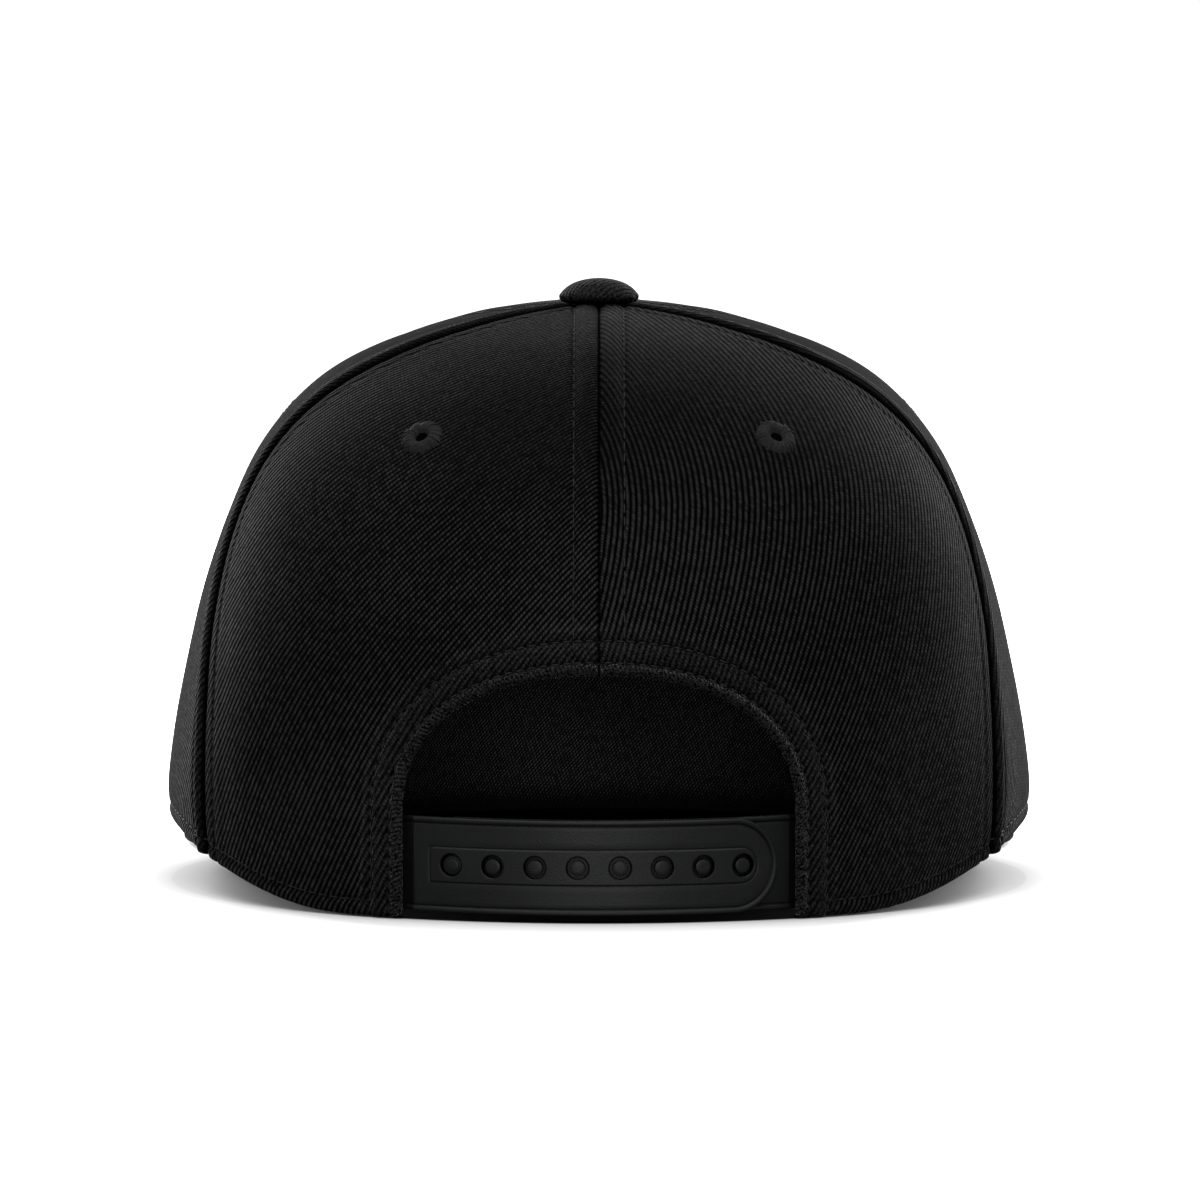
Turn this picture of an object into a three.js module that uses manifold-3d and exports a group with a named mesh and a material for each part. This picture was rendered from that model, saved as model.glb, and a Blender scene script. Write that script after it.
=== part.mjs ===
// Six-panel snapback cap with a flat brim, an arched opening at the back and a plastic snap strap.
// Millimetres, +Z up. The brim points along -Y, the opening faces +Y and the wearer's left is +X.
// Angles run round the crown's axis: 0 at the back centre, 180 at the front centre, plus towards +X.
import * as THREE from "three";
import { mergeVertices } from "three/addons/utils/BufferGeometryUtils.js";
import Module from "manifold-3d";

const wasm = await Module();
wasm.setup();

// Driving sizes of the crown
const crownWidth = 177.8; // across the ears, outside
const backDepth = 97; // from the button's axis to the back, outside
const frontDepth = 100; // from the button's axis to the front, outside
const crownHeight = 117.2; // from the surface the cap rests on up to the button's seat
const sideHemRise = 12.4; // how far the hem arches up over each ear
const backWall = 1.6; // cloth of the back and side panels, with its seam tape
const frontWall = 2.2; // cloth of the front panels, backed with buckram
const seamGap = 0.36; // between neighbouring panels
const seamDip = 0.8; // how deep the cloth is drawn in along a seam
const fitGap = 0.3; // clearance between pieces that touch on the real cap

// Driving sizes of the arched opening over the strap
const archWidth = 76.6;
const archHeight = 47.7; // from the resting surface to the top of the arch
const archShoulder = 20.8; // where its straight legs turn into the arch
const archPower = 2.24; // superellipse power of the arch

// Driving sizes of the brim
const brimLength = 68; // from the crown's front to the brim's front edge
const brimWidth = 182;
const brimHalfDepth = 84; // from the brim's widest line to its front edge
const brimPower = 2.25; // superellipse power of the outline
const brimCorner = 115; // angle on the crown where the brim ends, degrees
const brimCover = 1.75; // each of the two cloth covers, with its half of the board
const brimPitch = 0.6; // how much lower the front edge lies than the root
const brimCamber = 1.2; // how much lower the sides lie than the middle
const brimRimRound = 0.7; // how much each cover thins at the rim

// Driving sizes of the button, the eyelets and the sweatband
const buttonRadius = 8.15;
const buttonHeight = 5.8;
const tipRadius = 4.6; // round hole that the six panel tips leave at the top
const eyeletRadius = 4.25;
const eyeletHole = 1.3;
const eyeletBarrel = 2.2;
const eyeletRise = 1.15;
const eyeletShare = 0.5395; // how far up the panels the eyelets sit
const backEyeletAngle = 32.7;
const sideEyeletShift = 14; // how far before the middle of its panel a side eyelet sits, degrees
const bandHeight = 31;
const bandWall = 1.4;

// Driving sizes of the snap strap
const strapHeight = 18.2;
const strapLift = 1.5; // above the resting surface
const outerStrapWall = 1.5;
const innerStrapWall = 1.3;
const strapTail = 11; // length sewn in behind each side of the arch
const strapTipReach = 35.2; // from the back centre to the outer strap's round tip
const snapCount = 8;
const snapPitch = 8.35;
const snapHoleRadius = 2;
const pegRadius = 1.45;
const pegRoot = 0.4; // how far a peg is moulded into its strap

// Heights and reaches of the crown's sections, as shares of crownHeight and of the three half-widths.
// corner is how much fuller the plan is between its axes; crest is the extra height at the front.
const SECTIONS = [
  { rise: 0.0, back: 0.985, side: 0.99, front: 0.985, corner: 0.0, crest: 0.0 },
  { rise: 0.085, back: 0.99, side: 0.996, front: 0.99, corner: 0.008, crest: 0.0 },
  { rise: 0.253, back: 0.958, side: 0.965, front: 0.985, corner: 0.03, crest: 0.0 },
  { rise: 0.436, back: 0.903, side: 0.917, front: 0.965, corner: 0.055, crest: 0.0 },
  { rise: 0.608, back: 0.825, side: 0.852, front: 0.925, corner: 0.068, crest: 0.0 },
  { rise: 0.745, back: 0.727, side: 0.77, front: 0.865, corner: 0.065, crest: 0.003 },
  { rise: 0.851, back: 0.602, side: 0.658, front: 0.77, corner: 0.05, crest: 0.012 },
  { rise: 0.927, back: 0.45, side: 0.505, front: 0.61, corner: 0.03, crest: 0.021 },
  { rise: 0.97, back: 0.29, side: 0.325, front: 0.41, corner: 0.01, crest: 0.028 },
  { rise: 0.993, back: 0.14, side: 0.155, front: 0.2, corner: 0.0, crest: 0.014 },
  { rise: 1.0, back: 0.0, side: 0.0, front: 0.0, corner: 0.0, crest: 0.0 },
];

// Angles of the seams on either side of a side panel, in degrees, from the hem up to the button.
const SEAMS = [
  { rear: 63.5, fore: 122 },
  { rear: 63.3, fore: 121 },
  { rear: 65.5, fore: 119.5 },
  { rear: 68.5, fore: 118 },
  { rear: 70.5, fore: 117 },
  { rear: 69.5, fore: 117 },
  { rear: 65.5, fore: 117 },
  { rear: 60, fore: 117.5 },
  { rear: 55.5, fore: 118 },
  { rear: 53, fore: 118 },
  { rear: 52, fore: 118 },
];

// Shares of a panel's width and height where its facets end, finer beside the seams.
const PANEL_COLUMNS = [0, 0.018, 0.05, 0.17, 0.33, 0.5, 0.67, 0.83, 0.95, 0.982, 1];
const PANEL_ROWS = 18;
const SEAM_ROLL = 0.045; // share of a panel's width over which a seam draws the cloth in

const radians = THREE.MathUtils.degToRad;
const degrees = THREE.MathUtils.radToDeg;
const smooth = (value) => THREE.MathUtils.smoothstep(value, 0, 1);

// A smooth curve through three columns of a table, read at a share from its first row to its last.
function columnCurve(table, names) {
  const points = table.map((row) => new THREE.Vector3(...names.map((name) => row[name])));
  return new THREE.CatmullRomCurve3(points, false, "catmullrom", 0.5);
}
const reachCurve = columnCurve(SECTIONS, ["back", "side", "front"]);
const riseCurve = columnCurve(SECTIONS, ["rise", "corner", "crest"]);
const seamPairs = SEAMS.map((row) => new THREE.Vector2(row.rear, row.fore));
const seamCurve = new THREE.SplineCurve(seamPairs);

// The brim's underside: it falls to the front by its pitch and to the sides by its camber.
const brimRootY = -frontDepth * SECTIONS[0].front;
const brimFrontY = brimRootY - brimLength;
const brimMiddleY = brimFrontY + brimHalfDepth;
const brimThickness = 2 * brimCover + fitGap;
const brimFall = (x, y) =>
  (brimPitch * (y - brimFrontY)) / brimLength - brimCamber * (x / (brimWidth / 2)) ** 2;

// A point on a superellipse, from its half-axes and an angle.
function superPoint(angle, halfX, halfY, power) {
  const bend = (value) => Math.sign(value) * Math.abs(value) ** (2 / power);
  return new THREE.Vector2(halfX * bend(Math.sin(angle)), halfY * bend(Math.cos(angle)));
}

// The crown's outline in plan at the hem.
function hemPlan(angle) {
  const c = Math.cos(angle);
  const s = Math.sin(angle);
  const row = SECTIONS[0];
  const reach = (c > 0 ? row.back : row.front) * c * c + row.side * s * s;
  const depth = c > 0 ? backDepth : frontDepth;
  return new THREE.Vector2((crownWidth / 2) * s * reach, depth * c * reach);
}

// The brim's outer edge, from its left corner on the crown (share -1) round to the right one (share 1).
const cornerPlan = hemPlan(radians(brimCorner));
const cornerSwing =
  Math.PI - Math.asin(Math.min(1, cornerPlan.x / (brimWidth / 2)) ** (brimPower / 2));
const rearHalfDepth =
  (cornerPlan.y - brimMiddleY) / Math.abs(Math.cos(cornerSwing)) ** (2 / brimPower);
function brimEdge(share) {
  const swing = cornerSwing * share;
  const half = Math.cos(swing) > 0 ? brimHalfDepth : rearHalfDepth;
  const point = superPoint(swing, brimWidth / 2, half, brimPower);
  return new THREE.Vector2(point.x, brimMiddleY - point.y);
}
const EDGE_SAMPLES = 60;
const brimLow = Math.min(
  ...Array.from({ length: EDGE_SAMPLES + 1 }, (_, i) => {
    const edge = brimEdge((2 * i) / EDGE_SAMPLES - 1);
    return brimFall(edge.x, edge.y);
  }),
);
const brimUnder = (x, y) => brimFall(x, y) - brimLow;

// The hem lies on the resting surface at the back, arches over the ears and lands on the brim.
const hemRiseStart = 33;
const hemRiseSpan = 50;
const hemLandStart = 88;
function hemHeight(angle) {
  const turn = Math.abs(degrees(Math.atan2(Math.sin(angle), Math.cos(angle))));
  const side = sideHemRise * smooth((turn - hemRiseStart) / hemRiseSpan);
  const plan = hemPlan(angle);
  const onBrim = brimUnder(plan.x, plan.y) + brimThickness + fitGap;
  return side + (onBrim - side) * smooth((turn - hemLandStart) / (brimCorner - hemLandStart));
}

// A point of the crown's outside, share 0 at the hem and 1 at the button.
function crownPoint(angle, share) {
  const c = Math.cos(angle);
  const s = Math.sin(angle);
  const reaches = reachCurve.getPoint(share);
  const rises = riseCurve.getPoint(share);
  const along = c > 0 ? reaches.x : reaches.z;
  const full = 1 + rises.y * Math.sin(2 * angle) ** 2;
  const reach = (along * c * c + reaches.y * s * s) * full;
  const depth = c > 0 ? backDepth : frontDepth;
  const crest = c < 0 ? rises.z * c * c : 0;
  const hem = hemHeight(angle);
  return new THREE.Vector3(
    (crownWidth / 2) * s * reach,
    depth * c * reach,
    hem + (crownHeight - hem) * (rises.x + crest),
  );
}

// The direction straight out of the crown's outside.
const STEP = 0.004;
function crownNormal(angle, share) {
  const low = Math.max(0, share - STEP);
  const high = Math.min(1 - STEP, share + STEP);
  const up = crownPoint(angle, high).sub(crownPoint(angle, low));
  const round = crownPoint(angle + STEP, share).sub(crownPoint(angle - STEP, share));
  return up.cross(round).normalize();
}

// A point below the crown's outside by a depth. At the hem the cut edge stays level.
function crownBelow(angle, share, depth) {
  const outside = crownPoint(angle, share);
  const below = outside.clone().addScaledVector(crownNormal(angle, share), -depth);
  if (share === 0) below.z = outside.z;
  return below;
}

// The share of the way up at which the crown has a given radius in plan.
function shareAtRadius(angle, radius) {
  let low = 0.5;
  let high = 1;
  for (let i = 0; i < 40; i += 1) {
    const middle = (low + high) / 2;
    const point = crownPoint(angle, middle);
    if (Math.hypot(point.x, point.y) > radius) low = middle;
    else high = middle;
  }
  return low;
}

// Geometry helpers: a closed mesh as a solid, and a solid back as a geometry.
function toSolid(geometry) {
  const bare = geometry.index ? geometry.toNonIndexed() : geometry.clone();
  bare.deleteAttribute("normal");
  bare.deleteAttribute("uv");
  const merged = mergeVertices(bare, 1e-4);
  return new wasm.Manifold(
    new wasm.Mesh({
      numProp: 3,
      vertProperties: merged.attributes.position.array,
      triVerts: new Uint32Array(merged.index.array),
    }),
  );
}

function toGeometry(solid) {
  const mesh = solid.getMesh();
  const geometry = new THREE.BufferGeometry();
  geometry.setAttribute("position", new THREE.BufferAttribute(mesh.vertProperties, 3));
  geometry.setIndex(new THREE.BufferAttribute(mesh.triVerts, 1));
  const flat = geometry.toNonIndexed();
  flat.computeVertexNormals();
  return flat;
}

// A closed slab between two grids. pointAt(column, row, side) gives side 0, the outer face, and 1.
// Seen from outside, columns run to the right as rows run up.
function slab(columns, rows, pointAt) {
  const positions = [];
  const corner = (i, j, side) => pointAt(columns[i], rows[j], side);
  const quad = (a, b, c, d) => {
    for (const point of [a, b, c, a, c, d]) positions.push(point.x, point.y, point.z);
  };
  const lastI = columns.length - 1;
  const lastJ = rows.length - 1;
  for (let i = 0; i < lastI; i += 1) {
    for (let j = 0; j < lastJ; j += 1) {
      quad(corner(i, j, 0), corner(i + 1, j, 0), corner(i + 1, j + 1, 0), corner(i, j + 1, 0));
      quad(corner(i, j, 1), corner(i, j + 1, 1), corner(i + 1, j + 1, 1), corner(i + 1, j, 1));
    }
    quad(corner(i, 0, 1), corner(i + 1, 0, 1), corner(i + 1, 0, 0), corner(i, 0, 0));
    quad(corner(i, lastJ, 0), corner(i + 1, lastJ, 0), corner(i + 1, lastJ, 1), corner(i, lastJ, 1));
  }
  for (let j = 0; j < lastJ; j += 1) {
    quad(corner(0, j, 1), corner(0, j, 0), corner(0, j + 1, 0), corner(0, j + 1, 1));
    quad(corner(lastI, j, 0), corner(lastI, j, 1), corner(lastI, j + 1, 1), corner(lastI, j + 1, 0));
  }
  const geometry = new THREE.BufferGeometry();
  geometry.setAttribute("position", new THREE.Float32BufferAttribute(positions, 3));
  return toSolid(geometry);
}

// Even shares from 0 to 1.
const evenly = (count) => Array.from({ length: count + 1 }, (_, i) => i / count);

// A lathe-turned solid stood at a point with its axis along a direction.
function turned(profile, segments, at, axis) {
  const points = profile.map(([radius, height]) => new THREE.Vector2(radius, height));
  const geometry = new THREE.LatheGeometry(points, segments);
  const turn = new THREE.Quaternion().setFromUnitVectors(new THREE.Vector3(0, 1, 0), axis);
  geometry.applyQuaternion(turn);
  geometry.translate(at.x, at.y, at.z);
  return toSolid(geometry);
}

// The opening's outline, cut straight through the back along Y.
function archCutter() {
  const half = archWidth / 2;
  const crest = archHeight - archShoulder;
  const shape = new THREE.Shape();
  shape.moveTo(half, -archShoulder);
  for (const share of evenly(22)) {
    const point = superPoint((Math.PI / 2) * (1 - 2 * share), half, crest, archPower);
    shape.lineTo(point.x, archShoulder + point.y);
  }
  shape.lineTo(-half, -archShoulder);
  const geometry = new THREE.ExtrudeGeometry(shape, { depth: backDepth, bevelEnabled: false });
  geometry.rotateX(Math.PI / 2);
  geometry.translate(0, backDepth * 1.5, 0);
  return toSolid(geometry);
}

// Where each panel's eyelet sits: near the middle of its panel, or the measured place at the back.
function eyeletAngle(from, to) {
  if (from === 0) return radians(backEyeletAngle);
  const seams = seamCurve.getPoint(eyeletShare);
  const start = from === 1 ? seams.x : seams.y;
  const end = to === 2 ? seams.y : 180;
  const shift = from === 1 ? sideEyeletShift : 0;
  return radians((start + end) / 2 + shift);
}

// The seam lines as functions of share: back centre, rear, fore and front centre.
const SEAM_LINES = [
  () => 0,
  (share) => radians(seamCurve.getPoint(share).x),
  (share) => radians(seamCurve.getPoint(share).y),
  () => Math.PI,
];

// One panel between two seam lines. sign is 1 for the wearer's left and -1 for the right.
function panel(from, to, wall, sign) {
  const columns = sign > 0 ? PANEL_COLUMNS : PANEL_COLUMNS.map((share) => 1 - share).reverse();
  const pointAt = (column, row, side) => {
    const across = sign > 0 ? 1 - column : column;
    const toward = THREE.MathUtils.lerp(SEAM_LINES[from](row), SEAM_LINES[to](row), across);
    const share = row * shareAtRadius(toward, tipRadius);
    const plan = crownPoint(toward, share);
    const inset = seamGap / 2 / Math.hypot(plan.x, plan.y);
    const start = SEAM_LINES[from](share) + inset;
    const end = SEAM_LINES[to](share) - inset;
    const angle = (start + (end - start) * across) * sign;
    const nearest = Math.min(across, 1 - across);
    const roll = seamDip * Math.max(0, 1 - nearest / SEAM_ROLL) ** 2;
    return crownBelow(angle, share, side === 0 ? roll : wall);
  };
  return slab(columns, evenly(PANEL_ROWS), pointAt);
}

// The round hole that a panel has under its eyelet.
function eyeletDrill(angle) {
  const normal = crownNormal(angle, eyeletShare);
  const middle = crownPoint(angle, eyeletShare);
  const radius = eyeletBarrel + fitGap;
  const reach = 3 * frontWall;
  const profile = [
    [0, -reach],
    [radius, -reach],
    [radius, reach],
    [0, reach],
  ];
  return turned(profile, 16, middle, normal);
}

// An embroidered eyelet: a raised ring of thread outside and its turned-in throat through the cloth.
function eyelet(angle, wall) {
  const profile = [
    [eyeletHole, -wall],
    [eyeletBarrel, -wall],
    [eyeletBarrel, fitGap],
    [eyeletRadius, fitGap],
    [eyeletRadius * 0.99, eyeletRise * 0.55],
    [eyeletRadius * 0.84, eyeletRise * 0.92],
    [eyeletRadius * 0.6, eyeletRise],
    [eyeletHole * 1.15, eyeletRise * 0.7],
    [eyeletHole, -wall],
  ];
  return turned(profile, 14, crownPoint(angle, eyeletShare), crownNormal(angle, eyeletShare));
}

// The covered button: a domed top over a shank that fills the hole between the panel tips.
function topButton() {
  const throats = [0, Math.PI / 2, Math.PI].map((angle) => {
    const inside = crownBelow(angle, shareAtRadius(angle, tipRadius), frontWall);
    return Math.min(tipRadius, Math.hypot(inside.x, inside.y));
  });
  const shank = Math.min(...throats) - fitGap;
  const front = crownPoint(Math.PI, shareAtRadius(Math.PI, buttonRadius));
  const clear = Math.max(0, front.z - crownHeight) + fitGap;
  const profile = [
    [0, -frontWall],
    [shank, -frontWall],
    [shank, clear],
    [buttonRadius * 0.84, clear + fitGap / 2],
    [buttonRadius * 0.97, buttonHeight * 0.28],
    [buttonRadius, buttonHeight * 0.4],
    [buttonRadius * 0.94, buttonHeight * 0.62],
    [buttonRadius * 0.76, buttonHeight * 0.82],
    [buttonRadius * 0.46, buttonHeight * 0.96],
    [0, buttonHeight],
  ];
  const seat = new THREE.Vector3(0, 0, crownHeight);
  return turned(profile, 24, seat, new THREE.Vector3(0, 0, 1));
}

// The hem's plan outline pushed inwards by a depth.
function hemInset(angle, depth) {
  const plan = hemPlan(angle);
  const along = hemPlan(angle + STEP).sub(hemPlan(angle - STEP)).normalize();
  return new THREE.Vector2(plan.x - along.y * -depth, plan.y - along.x * depth);
}

// One brim cover between two heights above the brim's underside.
function brimLayer(low, high, rimDrop) {
  const inner = frontWall + bandWall + 2 * fitGap;
  const pointAt = (column, row, side) => {
    const share = 1 - 2 * column;
    const swing = Math.PI + (Math.PI - radians(brimCorner)) * -share;
    const root = hemInset(swing, inner);
    const edge = brimEdge(share);
    const plan = root.lerp(edge, row);
    const rim = row > 0.99 ? brimRimRound : 0;
    const height = side === 0 ? high - rim * rimDrop : low + rim * (1 - rimDrop);
    return new THREE.Vector3(plan.x, plan.y, brimUnder(plan.x, plan.y) + height);
  };
  return slab(evenly(28), [0, 0.25, 0.6, 0.975, 1], pointAt);
}

// The sweatband lines the head opening from one side of the arch round the front to the other.
// Its ends stand off the panels by the room that the strap tails take.
function sweatband() {
  const depth = frontWall + fitGap;
  const strapRoom = backWall + 3 * fitGap + outerStrapWall + innerStrapWall;
  const archEdge = angleAtLength(archWidth / 2);
  const start = archEdge + radians(2);
  const tailEnd = degrees(angleAtLength(archWidth / 2 + strapTail));
  const pointAt = (column, row, side) => {
    const angle = start + (2 * Math.PI - 2 * start) * (1 - column);
    const turn = Math.min(degrees(angle), 360 - degrees(angle));
    const standOff = Math.max(0, strapRoom - depth) * (1 - smooth((turn - tailEnd - 1) / 16));
    const plan = hemInset(angle, depth + standOff + side * bandWall);
    const hem = hemHeight(angle) + fitGap;
    const share = bandHeight / crownHeight * row;
    const lean = crownPoint(angle, share);
    const foot = crownPoint(angle, 0);
    const inward = Math.min(0, Math.hypot(lean.x, lean.y) - Math.hypot(foot.x, foot.y));
    const radius = Math.hypot(plan.x, plan.y);
    const scale = (radius + inward) / radius;
    return new THREE.Vector3(plan.x * scale, plan.y * scale, hem + bandHeight * row);
  };
  return slab(evenly(48), evenly(2), pointAt);
}

// The angle at a length along the hem from the back centre.
function angleAtLength(length) {
  const steps = 400;
  const step = Math.PI / steps;
  let travelled = 0;
  for (let i = 0; i < steps; i += 1) {
    const piece = hemPlan(i * step).distanceTo(hemPlan((i + 1) * step));
    if (travelled + piece >= Math.abs(length)) {
      return Math.sign(length) * (i + (Math.abs(length) - travelled) / piece) * step;
    }
    travelled += piece;
  }
  return Math.sign(length) * Math.PI;
}

// A band of plastic behind the hem's line, from a straight tail to a half-round tip.
// sign says which side the tail is on.
function strapBand(sign, tipLength, outerDepth, wall) {
  const radius = strapHeight / 2;
  const tail = archWidth / 2 + strapTail;
  const straight = evenly(20).map((share) => -tail + (tail + tipLength - radius) * share);
  const round = evenly(6).slice(1);
  const lengths = straight.concat(
    round.map((share) => tipLength - radius + radius * Math.sin((share * Math.PI * 0.47))),
  );
  const stations = lengths.map((length) => {
    const past = Math.max(0, length - (tipLength - radius));
    return { length, half: Math.sqrt(radius * radius - past * past) };
  });
  const columns = stations.map((_, i) => (sign > 0 ? i : stations.length - 1 - i));
  const pointAt = (column, row, side) => {
    const station = stations[column];
    const angle = angleAtLength(-sign * station.length);
    const plan = hemInset(angle, outerDepth + side * wall);
    const middle = strapLift + radius;
    return new THREE.Vector3(plan.x, plan.y, middle + station.half * (2 * row - 1));
  };
  return slab(columns, evenly(2), pointAt);
}

// Where a snap lies and which way it points, at a depth behind the hem's line.
function snapPlace(index, depth) {
  const length = (index - (snapCount - 1) / 2) * snapPitch;
  const angle = angleAtLength(length);
  const plan = hemInset(angle, depth);
  const outside = hemPlan(angle);
  const axis = new THREE.Vector3(outside.x - plan.x, outside.y - plan.y, 0).normalize();
  const at = new THREE.Vector3(plan.x, plan.y, strapLift + strapHeight / 2);
  return { at, axis };
}

const outerDepth = backWall + fitGap;
const innerDepth = outerDepth + outerStrapWall + fitGap;

// The outer strap comes from the wearer's left and has a row of round holes.
function outerStrap() {
  let strap = strapBand(1, strapTipReach, outerDepth, outerStrapWall);
  for (let i = 0; i < snapCount; i += 1) {
    const { at, axis } = snapPlace(i, outerDepth + outerStrapWall / 2);
    const profile = [
      [0, -outerStrapWall],
      [snapHoleRadius, -outerStrapWall],
      [snapHoleRadius, outerStrapWall],
      [0, outerStrapWall],
    ];
    strap = strap.subtract(turned(profile, 16, at, axis));
  }
  return strap;
}

// The inner strap comes from the wearer's right, and its pegs stand in the outer strap's holes.
function innerStrap() {
  const reach = ((snapCount - 1) / 2) * snapPitch + strapHeight / 2;
  let strap = strapBand(-1, reach, innerDepth, innerStrapWall);
  for (let i = 0; i < snapCount; i += 1) {
    const { at, axis } = snapPlace(i, innerDepth);
    const top = outerStrapWall + fitGap;
    const profile = [
      [0, -pegRoot],
      [pegRadius, -pegRoot],
      [pegRadius, top * 0.8],
      [pegRadius * 0.7, top],
      [0, top],
    ];
    strap = strap.add(turned(profile, 12, at, axis));
  }
  return strap;
}

// Finishes
const finish = (color, roughness) =>
  new THREE.MeshStandardMaterial({ color, roughness, metalness: 0 });
const twill = finish(0x17181a, 0.9);
const liningTwill = finish(0x101113, 0.95);
const thread = finish(0x1c1d1f, 0.8);
const plastic = finish(0x222325, 0.45);

const cap = new THREE.Group();

function place(name, solid, material) {
  const mesh = new THREE.Mesh(toGeometry(solid), material);
  mesh.name = name;
  cap.add(mesh);
}

// The six panels and their eyelets
const PANELS = [
  { name: "back_panel", eyelet: "back_eyelet", from: 0, to: 1, wall: backWall },
  { name: "side_panel", eyelet: "side_eyelet", from: 1, to: 2, wall: backWall },
  { name: "front_panel", eyelet: "front_eyelet", from: 2, to: 3, wall: frontWall },
];
const HANDS = [
  { name: "left", sign: 1 },
  { name: "right", sign: -1 },
];
const arch = archCutter();
for (const gore of PANELS) {
  for (const hand of HANDS) {
    const angle = eyeletAngle(gore.from, gore.to) * hand.sign;
    let solid = panel(gore.from, gore.to, gore.wall, hand.sign).subtract(eyeletDrill(angle));
    if (gore.from === 0) solid = solid.subtract(arch);
    place(`${gore.name}_${hand.name}`, solid, twill);
    place(`${gore.eyelet}_${hand.name}`, eyelet(angle, gore.wall), thread);
  }
}

place("top_button", topButton(), twill);
place("brim_top_cover", brimLayer(brimCover + fitGap, brimThickness, 1), twill);
place("brim_under_cover", brimLayer(0, brimCover, 0), twill);
place("sweatband", sweatband(), liningTwill);
place("strap_outer", outerStrap(), plastic);
place("strap_inner", innerStrap(), plastic);

// The origin lies under the middle of the cap's box, on the resting surface.
const box = new THREE.Box3().setFromObject(cap);
const middle = box.getCenter(new THREE.Vector3());
cap.position.set(-middle.x, -middle.y, 0);
cap.updateMatrixWorld(true);

export default cap;
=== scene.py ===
# %% [markdown]
# Snapback cap, seen from behind
#
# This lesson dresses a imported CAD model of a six-panel cap. The CAD gives every piece its place and
# size; here the cloth gets its rolled seams, twill, stitches and eyelets, and the strap its moulded
# rim. Lengths are written in millimetres round the button's axis and turned into metres at the end.

import math

import bpy
import numpy as np
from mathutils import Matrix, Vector
from mathutils.geometry import delaunay_2d_cdt


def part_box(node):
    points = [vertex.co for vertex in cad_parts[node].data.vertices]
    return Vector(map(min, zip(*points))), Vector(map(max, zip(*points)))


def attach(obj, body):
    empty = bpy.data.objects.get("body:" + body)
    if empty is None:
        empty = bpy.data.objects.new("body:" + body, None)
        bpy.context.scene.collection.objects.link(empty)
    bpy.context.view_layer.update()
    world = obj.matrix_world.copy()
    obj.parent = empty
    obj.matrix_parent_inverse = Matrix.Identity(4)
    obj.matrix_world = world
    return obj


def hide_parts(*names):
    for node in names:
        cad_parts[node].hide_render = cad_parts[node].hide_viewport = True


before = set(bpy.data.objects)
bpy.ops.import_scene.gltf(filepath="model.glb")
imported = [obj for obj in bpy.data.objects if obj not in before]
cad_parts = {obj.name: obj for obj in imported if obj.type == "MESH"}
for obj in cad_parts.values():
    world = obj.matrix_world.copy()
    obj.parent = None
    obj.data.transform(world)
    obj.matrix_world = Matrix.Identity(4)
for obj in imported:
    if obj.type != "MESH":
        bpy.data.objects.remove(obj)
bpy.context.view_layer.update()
button_low, button_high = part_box("top_button")
axis_y = (button_low.y + button_high.y) / 2 * 1000
print("nodes:", len(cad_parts), "button axis at y =", round(axis_y, 3), "mm")

# %% [markdown]
# The crown is one smooth shape cut into six gores. Its sections are a table from the hem to the
# button, and a smooth curve through the table gives any height between. The CAD was made from the
# same table, so the cloth built here lies on it.

# %% The crown's sizes and sections
crown_width, back_depth, front_depth, crown_height = 177.8, 97.0, 100.0, 117.2
side_hem_rise = 12.4
back_wall, front_wall = 1.6, 2.2
fit_gap = 0.3  # what the CAD keeps between pieces that touch on a real cap
tip_radius = 4.6  # the hole that the panels' tips leave under the button
rest_height = 0.02  # the lowest that any cloth goes
brim_length, brim_width, brim_half_depth, brim_power = 68.0, 179.5, 84.0, 2.25
brim_corner, brim_cover, brim_pitch, brim_camber = 115.0, 1.75, 0.6, 1.2
brim_thickness = 2 * brim_cover + fit_gap

# Columns: rise, back, side, front, corner, crest
sections = np.array([
    [0.000, 0.985, 0.990, 0.985, 0.000, 0.000],
    [0.085, 0.990, 0.996, 0.990, 0.008, 0.000],
    [0.253, 0.958, 0.965, 0.985, 0.030, 0.000],
    [0.436, 0.903, 0.917, 0.965, 0.055, 0.000],
    [0.608, 0.825, 0.852, 0.925, 0.068, 0.000],
    [0.745, 0.727, 0.770, 0.865, 0.065, 0.003],
    [0.851, 0.602, 0.658, 0.770, 0.050, 0.012],
    [0.927, 0.450, 0.505, 0.610, 0.030, 0.021],
    [0.970, 0.290, 0.325, 0.410, 0.010, 0.028],
    [0.993, 0.140, 0.155, 0.200, 0.000, 0.014],
    [1.000, 0.000, 0.000, 0.000, 0.000, 0.000],
])
# Angles of the seams behind and before each side panel, from the hem up
seams = np.array([
    [63.5, 122], [63.3, 121], [65.5, 119.5], [68.5, 118], [70.5, 117], [69.5, 117],
    [65.5, 117], [60, 117.5], [55.5, 118], [53, 118], [52, 118],
])


def along_table(rows, share, mirrored=True):
    """A smooth curve through the rows of a table, read at shares from 0 to 1."""
    last = len(rows) - 1
    place = np.clip(np.asarray(share, float), 0, 1) * last
    cell = np.minimum(place.astype(int), last - 1)
    t = (place - cell)[..., None]
    first = 2 * rows[0] - rows[1] if mirrored else rows[0]
    end = 2 * rows[-1] - rows[-2] if mirrored else rows[-1]
    padded = np.vstack([first, rows, end])
    a, b, c, d = (padded[cell + k] for k in range(4))
    return 0.5 * (2 * b + (c - a) * t + (2 * a - 5 * b + 4 * c - d) * t**2
                  + (3 * b - a - 3 * c + d) * t**3)


def eased(value):
    """A soft step from 0 to 1."""
    value = np.clip(value, 0, 1)
    return value * value * (3 - 2 * value)


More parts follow.
